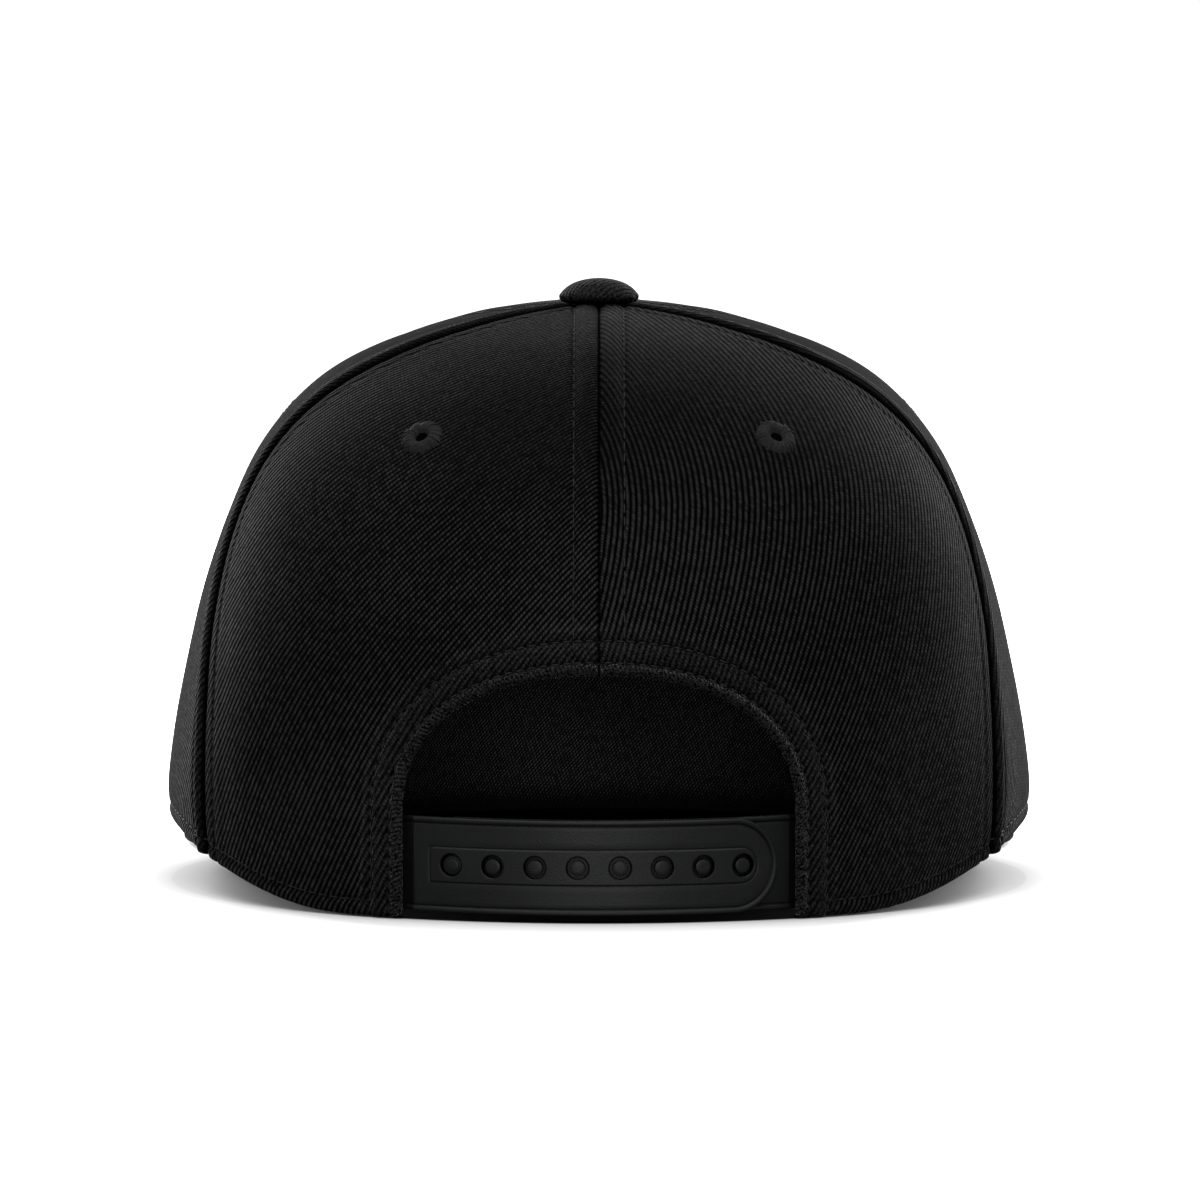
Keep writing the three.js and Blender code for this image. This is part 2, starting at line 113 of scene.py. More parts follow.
# %% The hem's outline, the brim's outline and the crown's surface
def hem_plan(angle):
    c, s = np.cos(angle), np.sin(angle)
    row = sections[0]
    reach = np.where(c > 0, row[1], row[3]) * c * c + row[2] * s * s
    depth = np.where(c > 0, back_depth, front_depth)
    return np.stack([crown_width / 2 * s * reach, depth * c * reach], -1)


brim_root_y = -front_depth * sections[0][3]
brim_front_y = brim_root_y - brim_length
brim_middle_y = brim_front_y + brim_half_depth
corner_plan = hem_plan(np.radians(brim_corner))
corner_swing = math.pi - math.asin(min(1, corner_plan[0] / (brim_width / 2)) ** (brim_power / 2))
rear_half_depth = (corner_plan[1] - brim_middle_y) / abs(math.cos(corner_swing)) ** (2 / brim_power)


def brim_edge(share):
    """The brim's outer edge, share -1 at its left corner and 1 at its right one."""
    swing = corner_swing * np.asarray(share, float)
    s, c = np.sin(swing), np.cos(swing)
    half = np.where(c > 0, brim_half_depth, rear_half_depth)
    x = brim_width / 2 * np.sign(s) * np.abs(s) ** (2 / brim_power)
    return np.stack([x, brim_middle_y - half * np.sign(c) * np.abs(c) ** (2 / brim_power)], -1)


def brim_fall(x, y):
    return brim_pitch * (y - brim_front_y) / brim_length - brim_camber * (x / (brim_width / 2)) ** 2


edge_samples = brim_edge(np.linspace(-1, 1, 61))
brim_low = brim_fall(edge_samples[:, 0], edge_samples[:, 1]).min()


def brim_under(x, y):
    return brim_fall(x, y) - brim_low


def hem_height(angle):
    turn = np.abs(np.degrees(np.arctan2(np.sin(angle), np.cos(angle))))
    side = side_hem_rise * eased((turn - 33) / 50)
    plan = hem_plan(angle)
    on_brim = brim_under(plan[..., 0], plan[..., 1]) + brim_thickness + fit_gap
    return side + (on_brim - side) * eased((turn - 88) / (brim_corner - 88))


def crown_point(angle, share):
    """A point of the crown's outside: angle 0 at the back, share 0 at the hem and 1 at the button."""
    angle, share = np.broadcast_arrays(np.asarray(angle, float), np.asarray(share, float))
    c, s = np.cos(angle), np.sin(angle)
    rise, back, side, front, corner, crest = np.moveaxis(along_table(sections, share), -1, 0)
    reach = (np.where(c > 0, back, front) * c * c + side * s * s) * (1 + corner * np.sin(2 * angle) ** 2)
    depth = np.where(c > 0, back_depth, front_depth)
    hem = hem_height(angle)
    lift = rise + np.where(c < 0, crest * c * c, 0)
    return np.stack([crown_width / 2 * s * reach, depth * c * reach, hem + (crown_height - hem) * lift], -1)


def crown_normal(angle, share, step=0.004):
    above, below = np.minimum(1 - step, share + step), np.maximum(0, share - step)
    up = crown_point(angle, above) - crown_point(angle, below)
    around = crown_point(angle + step, share) - crown_point(angle - step, share)
    out = np.cross(up, around)
    return out / np.linalg.norm(out, axis=-1, keepdims=True)


def share_at_radius(angle, radius):
    low, high = np.full(np.shape(angle), 0.5), np.ones(np.shape(angle))
    for _ in range(30):
        middle = (low + high) / 2
        point = crown_point(angle, middle)
        outside = np.hypot(point[..., 0], point[..., 1]) > radius
        low, high = np.where(outside, middle, low), np.where(outside, high, middle)
    return low


print("crown top:", crown_point(0.0, 1.0).round(2))
print("front hem height:", round(float(hem_height(math.pi)), 2))

# %% [markdown]
# A gore is the cloth between two seams. Its width at each height and its length up the middle are
# tables too. They give the cloth a flat map in metres, as if it had been laid on the cutting table,
# and the twill is drawn on that map, so its ribs bend with the panel as real cloth does.

# %% The four seam lines and the tables of a gore
seam_gap = 0.12
diagonal = 0.8  # an angle between the back and a side, where a gore's size is taken
table_shares = np.linspace(0, 1, 201)


def seam_angle(line, share):
    """Angle of a seam line: 0 back centre, 1 behind the side panel, 2 before it, 3 front centre."""
    if line in (0, 3):
        return np.zeros(np.shape(share)) + (0 if line == 0 else math.pi)
    return np.radians(along_table(seams, share, mirrored=False)[..., line - 1])


def path_lengths(points):
    steps = np.linalg.norm(np.diff(points, axis=0), axis=-1)
    return np.concatenate([np.zeros((1,) + steps.shape[1:]), np.cumsum(steps, axis=0)])


def gore_tables(start_line, end_line):
    start, end = seam_angle(start_line, table_shares), seam_angle(end_line, table_shares)
    fractions = np.linspace(0, 1, 25)[:, None]
    across = crown_point(start + (end - start) * fractions, table_shares[None, :])
    width = path_lengths(across)[-1]
    length = path_lengths(crown_point((start + end) / 2, table_shares))
    return {"lines": (start_line, end_line), "width": width, "length": length}


gores = {"back": gore_tables(0, 1), "side": gore_tables(1, 2), "front": gore_tables(2, 3)}
for gore_name, gore in gores.items():
    print(gore_name, "gore:", gore["width"][0].round(1), "mm wide at the hem and",
          gore["length"][-1].round(1), "mm long")


def gore_angle(gore, fraction, share):
    plan = crown_point(diagonal, share)
    inset = seam_gap / 2 / np.maximum(4, np.hypot(plan[..., 0], plan[..., 1]))
    start_line, end_line = gore["lines"]
    start = seam_angle(start_line, share) + inset * (start_line != 0)
    end = seam_angle(end_line, share) - inset * (end_line != 3)
    return start + (end - start) * fraction


def gore_point(kind, fraction, share):
    """A point of the crown's smooth shape, at a place in a gore."""
    return crown_point(gore_angle(gores[kind], fraction, share), share)


def gore_map(gore, fraction, share):
    """The cloth's flat map in metres."""
    width = np.interp(share, table_shares, gore["width"])
    length = np.interp(share, table_shares, gore["length"])
    return np.stack([(fraction - 0.5) * width, length], -1) / 1000


# %% Distances from points to a path, for rolled edges and stitch lines
def distance_to_path(points, path):
    """How far each point is from the nearest piece of a path, in the units of both."""
    flat = points.reshape(-1, points.shape[-1])
    starts, steps = path[:-1], np.diff(path, axis=0)
    square = np.maximum(1e-12, (steps**2).sum(-1))
    nearest = np.empty(len(flat))
    for first in range(0, len(flat), 3000):
        gap = flat[first:first + 3000, None, :] - starts[None]
        t = np.clip((gap * steps).sum(-1) / square, 0, 1)
        nearest[first:first + 3000] = np.sqrt(((gap - t[..., None] * steps) ** 2).sum(-1).min(1))
    return nearest.reshape(points.shape[:-1])


seam_shares = np.linspace(0, 0.997, 160)
seam_paths = [crown_point(seam_angle(line, seam_shares), seam_shares) for line in range(4)]

# %% [markdown]
# The arched opening is a superellipse over two straight legs. Its edge is found on the crown by
# turning each point's side position and height into an angle and a share.

# %% The arched opening's edge
arch_width, arch_height, arch_shoulder, arch_power = 77.6, 47.7, 20.8, 2.24


def angle_share_at(x, z):
    angle, share = np.zeros(np.shape(x)), np.full(np.shape(x), 0.3)
    fine = np.linspace(0, 1, 2001)
    rises = along_table(sections, fine)[:, 0]
    for _ in range(30):
        hem = hem_height(angle)
        share = np.interp((z - hem) / (crown_height - hem), rises, fine)
        probe = np.maximum(angle, 1e-4)
        reach = crown_point(probe, share)[..., 0] / np.sin(probe)
        angle = np.arcsin(np.clip(x / reach, 0, 1))
    return angle, share


swing = np.linspace(0, math.pi / 2, 90)
arch_x = arch_width / 2 * np.sin(swing) ** (2 / arch_power)
arch_z = arch_shoulder + (arch_height - arch_shoulder) * np.cos(swing) ** (2 / arch_power)
arch_x = np.concatenate([arch_x, np.full(20, arch_width / 2)])
arch_z = np.concatenate([arch_z, np.linspace(arch_shoulder, 0, 21)[1:]])
arch_angle, arch_share = angle_share_at(arch_x, arch_z)
arch_path = crown_point(arch_angle, arch_share)
arch_length = path_lengths(arch_path)
print("half the arch's edge is", arch_length[-1].round(1), "mm; worst miss",
      np.abs(arch_path[:, 0] - arch_x).max().round(3), "mm")

# %% [markdown]
# Every cloth piece is a closed slab: an outer grid, an inner grid and strips between their borders.
# Grids are laid so that their lines run beside the seams, which keeps the rolled edges and the
# sewn-in grooves crisp without a great many faces.

# %% Turning grids into closed meshes
def to_metres(points):
    return (points + np.array([0, axis_y, 0])) / 1000


def add_object(name, points, faces, maps=None, masks=None):
    """A smooth mesh from points in millimetres, faces outwards, with a flat map and named masks."""
    place = to_metres(points)
    tris = np.array([(f[0], f[k], f[k + 1]) for f in faces for k in range(1, len(f) - 1)])
    a, b, c = np.moveaxis((place - place.mean(0))[tris], 1, 0)
    if (a * np.cross(b, c)).sum() < 0:
        faces = [f[::-1] for f in faces]
    mesh = bpy.data.meshes.new(name)
    mesh.from_pydata(place.tolist(), [], [tuple(int(i) for i in f) for f in faces])
    mesh.shade_smooth()
    if maps is not None:
        corners = np.empty(len(mesh.loops), dtype=np.int32)
        mesh.loops.foreach_get("vertex_index", corners)
        layer = mesh.uv_layers.new(name="cloth")
        layer.data.foreach_set("uv", np.asarray(maps, dtype=np.float32)[corners].ravel())
    for label, values in (masks or {}).items():
        mask = mesh.attributes.new(label, "FLOAT", "POINT")
        mask.data.foreach_set("value", np.asarray(values, dtype=np.float32).ravel())
    mesh.validate()
    piece = bpy.data.objects.new(name, mesh)
    bpy.context.scene.collection.objects.link(piece)
    return piece


def quads(a, b, c, d):
    return np.stack([a.ravel(), b.ravel(), c.ravel(), d.ravel()], -1)


def slab_faces(rows, columns):
    """Faces of a slab whose outer grid's points come first and whose inner grid's follow."""
    outer = np.arange(rows * columns).reshape(rows, columns)
    inner = outer + rows * columns
    return np.concatenate([
        quads(outer[:-1, :-1], outer[:-1, 1:], outer[1:, 1:], outer[1:, :-1]),
        quads(inner[:-1, :-1], inner[1:, :-1], inner[1:, 1:], inner[:-1, 1:]),
        quads(inner[0, :-1], inner[0, 1:], outer[0, 1:], outer[0, :-1]),
        quads(outer[-1, :-1], outer[-1, 1:], inner[-1, 1:], inner[-1, :-1]),
        quads(inner[:-1, 0], outer[:-1, 0], outer[1:, 0], inner[1:, 0]),
        quads(outer[:-1, -1], inner[:-1, -1], inner[1:, -1], outer[1:, -1]),
    ])


map_turn = 0.0015  # how far the flat map runs on, in metres, round a slab's border


def add_slab(name, outer, inner, maps, masks, turn=map_turn):
    points = np.concatenate([outer.reshape(-1, 3), inner.reshape(-1, 3)])
    both_maps = np.concatenate([maps.reshape(-1, 2), (maps + turn).reshape(-1, 2)])
    both_masks = {label: np.tile(values.ravel(), 2) for label, values in masks.items()}
    return add_object(name, points, slab_faces(*outer.shape[:2]), both_maps, both_masks)


def remap_columns(piece, shape, columns, maps):
    """Give the outer faces of a slab's first columns a flat map of their own."""
    layer = piece.data.uv_layers["cloth"].data
    corners = np.empty(len(piece.data.loops), dtype=np.int32)
    piece.data.loops.foreach_get("vertex_index", corners)
    places = np.empty(len(corners) * 2, dtype=np.float32)
    layer.foreach_get("uv", places)
    places = places.reshape(-1, 2)
    face = np.arange(len(corners)) // 4
    chosen = (face < (shape[0] - 1) * (shape[1] - 1)) & (face % (shape[1] - 1) < columns)
    places[chosen] = maps.reshape(-1, 2)[corners[chosen]]
    layer.foreach_set("uv", places.ravel())


def spaced(total, fine_start, fine_end, step, coarse):
    """Places from 0 to a total length: steps of a fine size at both ends and coarse ones between."""
    start = np.arange(0, fine_start, step)
    end = total - np.arange(0, fine_end, step)[::-1]
    count = max(2, int(round((total - fine_start - fine_end) / coarse)))
    return np.concatenate([start, np.linspace(fine_start, total - fine_end, count + 1)[:-1], end])


# %% [markdown]
# Relief is what the needle does to the cloth. Beside a seam the cloth rolls down into the joint, it
# puffs up between the seam and its row of topstitch, and each row of stitches pulls a groove. The
# seam allowance behind the side panels is folded forwards, so that side stands up as a ridge.

# %% Rolled edges, puffs and stitch grooves
stitch_inset = 5.0  # topstitch beside every seam
hem_stitch = 3.2  # topstitch above the hem
arch_rows = (2.5, 6.9)  # two rows round the arch
wave_height = 0.32


def rolled(distance, radius, drop):
    """Cloth that turns down over an edge."""
    near = np.clip(1 - distance / radius, 0, 1)
    return -drop * (1 - np.sqrt(1 - near * near))


def groove(distance, at, depth=0.3, width=0.5):
    return -depth * np.exp(-(((distance - at) / width) ** 2))


def puff(distance, start, end, height):
    share = np.clip((distance - start) / (end - start), 0, 1)
    return height * np.sin(math.pi * share)


def slow_waves(points, height):
    """Gentle unevenness of cloth, the same on every run."""
    x, y, z = np.moveaxis(points, -1, 0)
    return height * (
        np.sin(x / 17 + 1.3) * np.sin(z / 21 + 0.4) + 0.6 * np.sin(x / 9.5 + z / 13 + 2.1)
        + 0.5 * np.sin(y / 12 - z / 9 + 0.7) + 0.35 * np.sin(x / 6.1 - z / 5.3)
    ) / 2


def seam_relief(distance, ridge, radius=1.5, drop=1.0):
    pucker = puff(distance, 0.3, stitch_inset, ridge) + puff(distance, stitch_inset, 9, 0.1)
    return rolled(distance, radius, drop) + pucker + groove(distance, stitch_inset)


# Painted shade that fades out beyond a distance from a seam, a row or a hole
def painted_shade_near(distance, start, width):
    return 1 - eased((distance - start) / width)


def gore_relief(kind, points, from_start, from_end, from_arch):
    """How far the outer face stands off the crown's smooth shape, in millimetres."""
    ridges = {"back": (0.35, 0.1), "side": (0.8, 0.35), "front": (0.3, 0.3)}[kind]
    angle = np.arctan2(points[..., 0], points[..., 1])
    from_hem = points[..., 2] - hem_height(angle)
    relief = seam_relief(from_start, ridges[0], *((1.0, 1.3) if kind == "side" else (1.5, 1.0)))
    relief = relief + seam_relief(from_end, ridges[1], *((2.2, 1.4) if kind == "back" else (1.5, 1.0)))
    relief = relief + slow_waves(points, wave_height) * eased(np.minimum(from_start, from_end) / 9)
    relief = relief + 0.4 * eased((48 - np.hypot(points[..., 0], points[..., 1])) / 22)
    if kind == "front":
        return relief + rolled(from_hem, 0.8, 0.7)
    edge = rolled(from_hem, 0.8, 0.8) + puff(from_hem, 0.2, hem_stitch, 0.22)
    beyond = 1 if from_arch is None else eased((from_arch - arch_rows[1]) / 2)
    relief = relief + edge + groove(from_hem, hem_stitch) * beyond
    if from_arch is not None:
        first, second = arch_rows
        relief = relief + rolled(from_arch, 1.1, 0.8) + puff(from_arch, 0.1, first, 0.4)
        relief = relief + puff(from_arch, first, second, 0.45)
        relief = relief + groove(from_arch, first, 0.25, 0.45) + groove(from_arch, second, 0.35, 0.5)
    return relief


def tape_relief(from_start, from_end, from_hem):
    """How far the inner face stands inwards: the tape sewn over every seam, and the hem's turning."""
    def tape(distance):
        return 0.45 * eased((6.6 - distance) / 0.8) + groove(distance, stitch_inset, 0.2)
    return tape(from_start) + tape(from_end) - rolled(from_hem, 0.8, 0.8)


# %% Building one panel's grids
def gore_place(gore, length_across, length_up):
    """Fraction and share at a place on the flat map, with lengths from the first seam and the hem."""
    share = np.interp(length_up, gore["length"], table_shares)
    width = np.interp(share, table_shares, gore["width"])
    return np.clip(length_across / np.maximum(width, 1e-6), 0, 1), share


def tip_share(gore, fraction):
    top = gore_angle(gore, fraction, np.ones(np.shape(fraction)))
    return share_at_radius(top, tip_radius)


seam_steps = np.concatenate([np.arange(0, 2, 0.25), np.arange(2, 7.6, 0.45)])  # columns beside a seam
seam_band = 7.8  # how wide the strip with those columns is


def plain_grid(gore):
    """Rows up and columns across for a side or front gore, fine beside the seams and the hem."""
    hem_rows = spaced(gore["length"][-1], 6, 0, 0.45, 1.6)
    up = np.interp(hem_rows[hem_rows <= gore["length"][-1]], gore["length"], table_shares)
    width = np.interp(up, table_shares, gore["width"])[:, None]
    start = seam_steps[None] / np.maximum(width, 19)
    edge = seam_band / np.maximum(width, 19)
    middle = edge + (1 - 2 * edge) * np.linspace(0, 1, 48)[None]
    fraction = np.hstack([start, middle, 1 - start[:, ::-1]])
    share = up[:, None] / up[-1] * tip_share(gore, fraction)
    return fraction, share


def arched_grid(gore):
    """Rows along the arch's edge and columns from it to the rear seam, for a back gore."""
    tip = float(tip_share(gore, np.array(0.5)))
    shares = np.linspace(tip, 0, 240)
    seam_x = np.interp(shares, table_shares, gore["width"])
    seam_y = np.interp(shares, table_shares, gore["length"])
    arc_x = np.linspace(0, seam_x[0], 12)[:-1]
    outer = np.concatenate([np.stack([arc_x, np.full(11, seam_y[0])], -1), np.stack([seam_x, seam_y], -1)])
    width = np.interp(arch_share, table_shares, gore["width"])
    end = seam_angle(1, arch_share)
    inner = np.stack([arch_angle / end * width, np.interp(arch_share, table_shares, gore["length"])], -1)
    def at(path, places):
        lengths = path_lengths(path)
        return np.stack([np.interp(places, lengths, path[:, k]) for k in range(2)], -1)
    outer_total, inner_total = path_lengths(outer)[-1], path_lengths(inner)[-1]
    fine = np.concatenate([np.arange(0, 2, 0.25), np.arange(2, 8, 0.4)])
    hem_fine = np.arange(0, 5.5, 0.4)
    def places(total):
        middle = np.linspace(8, total - 5.6, 96)
        return np.concatenate([fine, middle, total - hem_fine[::-1]])
    first, last = at(inner, places(inner_total)), at(outer, places(outer_total))
    reach = np.linalg.norm(last - first, axis=-1)[:, None]
    arch_steps = np.concatenate([np.arange(0, 3.2, 0.2), np.arange(3.2, 6.2, 0.375),
                                 np.arange(6.2, 7.8, 0.2), np.arange(7.8, 9, 0.4)])
    middle = 9 + (reach - 9 - seam_band) * np.linspace(0, 1, 44)[None]
    run = np.hstack([np.tile(arch_steps, (len(first), 1)), middle, reach - seam_steps[None, ::-1]]) / reach
    flat = first[:, None, :] + (last - first)[:, None, :] * run[..., None]
    return gore_place(gore, flat[..., 0], flat[..., 1])


grids = {kind: (arched_grid if kind == "back" else plain_grid)(gore) for kind, gore in gores.items()}
for gore_name, grid in grids.items():
    print(gore_name, "grid:", grid[0].shape)


# %% Dressing the surface: one function places both faces and the stitches
def surface(kind, fraction, share):
    """The smooth points, the angles, the normals, and the distances from both seams and the arch."""
    angle = gore_angle(gores[kind], fraction, share)
    smooth = crown_point(angle, share)
    from_seams = [distance_to_path(smooth, seam_paths[line]) for line in gores[kind]["lines"]]
    from_arch = distance_to_path(smooth, arch_path) if kind == "back" else None
    return smooth, angle, crown_normal(angle, share), from_seams, from_arch


def dressed(kind, fraction, share, lift=0.0):
    """Points of a left panel's outer face, with its relief, raised by a lift; and the normals there."""
    smooth, _, normal, from_seams, from_arch = surface(kind, fraction, share)
    relief = gore_relief(kind, smooth, *from_seams, from_arch)
    return smooth + normal * (relief + lift)[..., None], normal


def inner_face(kind, fraction, share):
    wall = front_wall if kind == "front" else back_wall
    smooth, angle, normal, from_seams, from_arch = surface(kind, fraction, share)
    proud = tape_relief(*from_seams, smooth[..., 2] - hem_height(angle))
    depth = wall + proud - slow_waves(smooth, wave_height)
    if kind == "back":
        depth = depth + rolled(from_arch, 1.1, 0.74)
    return smooth - normal * np.maximum(depth, wall * 0.54)[..., None]


flip = np.array([-1, 1, 1])


def mirrored(points, hand):
    return points if hand == "left" else points * flip


# %% [markdown]
# Black cotton twill is matt, and its pattern is the diagonal rib of the weave: soft cords a little
# over a millimetre apart, each made of short floats of yarn. One node group draws that rib from any
# map in metres and gives a height and a mask. A second group gives slow fading and fine fuzz. Both
# are shared by every cloth material, each with its own rib size and angle.

# %% Small helpers for node trees
def add_node(tree, kind, inputs=None, **settings):
    """A node, with its inputs set or wired. Nodes stand in the order of making, eight to a row."""
    count = len(tree.nodes)
    node = tree.nodes.new(kind)
    node.location = (count % 8 * 220 - 2000, 300 - count // 8 * 300)
    for key, value in settings.items():
        setattr(node, key, value)
    for key, value in (inputs or {}).items():
        if isinstance(value, bpy.types.Node):
            value = value.outputs[0]
        if isinstance(value, bpy.types.NodeSocket):
            tree.links.new(value, node.inputs[key])
        else:
            node.inputs[key].default_value = value
    return node


def calculate(tree, operation, *values):
    return add_node(tree, "ShaderNodeMath", dict(enumerate(values)), operation=operation).outputs[0]


def ramp(tree, value, low, high, start, end):
    """A value that runs from start to end while another one runs from low to high."""
    return add_node(tree, "ShaderNodeMapRange", {0: value, 1: low, 2: high, 3: start, 4: end}).outputs[0]


def noise(tree, place, scale, detail):
    inputs = {"Vector": place, "Scale": scale, "Detail": detail}
    return add_node(tree, "ShaderNodeTexNoise", inputs).outputs["Fac"]


def painted(tree, name):
    """A mask that was stored on the mesh under this name."""
    return add_node(tree, "ShaderNodeAttribute", attribute_name=name).outputs["Fac"]


def object_place(tree):
    return add_node(tree, "ShaderNodeTexCoord").outputs["Object"]


def set_ends(tree, left, right):
    group_in, group_out = tree.nodes.new("NodeGroupInput"), tree.nodes.new("NodeGroupOutput")
    group_in.location, group_out.location = (left, 0), (right, 0)
    return group_in.outputs, group_out.inputs


def shader_group(name, inputs, outputs):
    """A node group. An input with no value is a vector, the others are numbers."""
    tree = bpy.data.node_groups.new(name, "ShaderNodeTree")
    for label, value in inputs.items():
        kind = "NodeSocketVector" if value is None else "NodeSocketFloat"
        socket = tree.interface.new_socket(label, in_out="INPUT", socket_type=kind)
        if value is not None:
            socket.default_value = value
    for label in outputs:
        tree.interface.new_socket(label, in_out="OUTPUT", socket_type="NodeSocketFloat")
    return tree, *set_ends(tree, -2300, 0)


# %% The twill group
rib_drift_scale, yarn_stagger, yarn_slant = 260.0, 0.37, 0.55


def cord_profile(tree, running):
    """Where a point is across its own cord, from -0.5 to 0.5, and how high the round cord is there."""
    across = calculate(tree, "SUBTRACT", calculate(tree, "FRACT", running), 0.5)
    square = calculate(tree, "MULTIPLY", across, across)
    return across, calculate(tree, "SUBTRACT", 1.0, calculate(tree, "MULTIPLY", square, 4.0))


def product_pair(tree, join, a, b, c, d):
    return calculate(tree, join, calculate(tree, "MULTIPLY", a, b), calculate(tree, "MULTIPLY", c, d))


twill_group, weave_in, weave_out = shader_group(
    "twill weave",
    {"Map": None, "Rib pitch": 0.0012, "Rib angle": 1.0, "Yarn pitch": 0.0005, "Yarn depth": 0.25,
     "Unevenness": 0.00012},
    ["Height", "Yarn tone"],
)
t = twill_group
x, y = add_node(t, "ShaderNodeSeparateXYZ", {0: weave_in["Map"]}).outputs[:2]
cosine = calculate(t, "COSINE", weave_in["Rib angle"])
sine = calculate(t, "SINE", weave_in["Rib angle"])
across = product_pair(t, "SUBTRACT", x, sine, y, cosine)
along = product_pair(t, "ADD", x, cosine, y, sine)
drift = calculate(t, "SUBTRACT", noise(t, weave_in["Map"], rib_drift_scale, 2.0), 0.5)
shift = calculate(t, "MULTIPLY", drift, weave_in["Unevenness"])
ribs = calculate(t, "DIVIDE", calculate(t, "ADD", across, shift), weave_in["Rib pitch"])
rib_index = calculate(t, "FLOOR", ribs)
rib_place, rib_round = cord_profile(t, ribs)
staggered = calculate(t, "ADD", calculate(t, "DIVIDE", along, weave_in["Yarn pitch"]),
                      calculate(t, "MULTIPLY", rib_index, yarn_stagger))
yarns = calculate(t, "ADD", staggered, calculate(t, "MULTIPLY", rib_place, yarn_slant))
_, yarn_round = cord_profile(t, yarns)
yarn_height = calculate(t, "MULTIPLY_ADD", yarn_round, weave_in["Yarn depth"],
                        calculate(t, "SUBTRACT", 1.0, weave_in["Yarn depth"]))
cell = add_node(t, "ShaderNodeCombineXYZ", {0: rib_index, 1: calculate(t, "FLOOR", yarns)})
yarn_tone = add_node(t, "ShaderNodeTexWhiteNoise", {"Vector": cell}, noise_dimensions="3D")
t.links.new(calculate(t, "MULTIPLY", rib_round, yarn_height), weave_out["Height"])
t.links.new(yarn_tone.outputs["Value"], weave_out["Yarn tone"])

# %% The wear group: slow fading and fine fuzz
wear_group, wear_in, wear_out = shader_group(
    "cloth wear", {"Place": None, "Fade size": 26.0, "Fuzz size": 2400.0}, ["Fade", "Fuzz"])
for mark, detail in (("Fade", 4.0), ("Fuzz", 3.0)):
    cloudy = noise(wear_group, wear_in["Place"], wear_in[mark + " size"], detail)
    wear_group.links.new(cloudy, wear_out[mark])


# %% What the materials share
def new_material(name, roughness, specular, sheen=0.0, sheen_roughness=0.5):
    material = bpy.data.materials.new(name)
    material.use_nodes = True
    shader = material.node_tree.nodes["Principled BSDF"].inputs
    for label, value in (("Roughness", roughness), ("Specular IOR Level", specular),
                         ("Sheen Weight", sheen), ("Sheen Roughness", sheen_roughness)):
        shader[label].default_value = value
    return material, material.node_tree, shader


def mixed_colour(tree, mask, dark, light):
    colours = {k: c if isinstance(c, bpy.types.NodeSocket) else (*c, 1) for k, c in ((6, dark), (7, light))}
    return add_node(tree, "ShaderNodeMix", {"Factor": mask, **colours}, data_type="RGBA").outputs[2]


def add_bump(tree, shader, height, distance):
    bump = add_node(tree, "ShaderNodeBump", {"Height": height, "Distance": distance, "Strength": 1.0})
    tree.links.new(bump.outputs[0], shader["Normal"])


# %% The cloth materials
crest_power = 3.6  # the higher, the thinner the lit line on each rib
yarn_tones, fade_tones, nap_tones = (0.9, 0.55), (1.7, 0.15), (3.4, -1.35)  # factor and what is added
nap_share, cloth_sheen, fuzz_bump = 0.6, 0.2, 0.35
# The glint is a painted highlight in the cloth's colour
glint_starts, glint_ends = (0.66, 0.75), (0.78, 0.85)  # how far the cloth is turned from the viewer
upper_part = (0.05, 0.09)  # heights in metres between which the glint grows


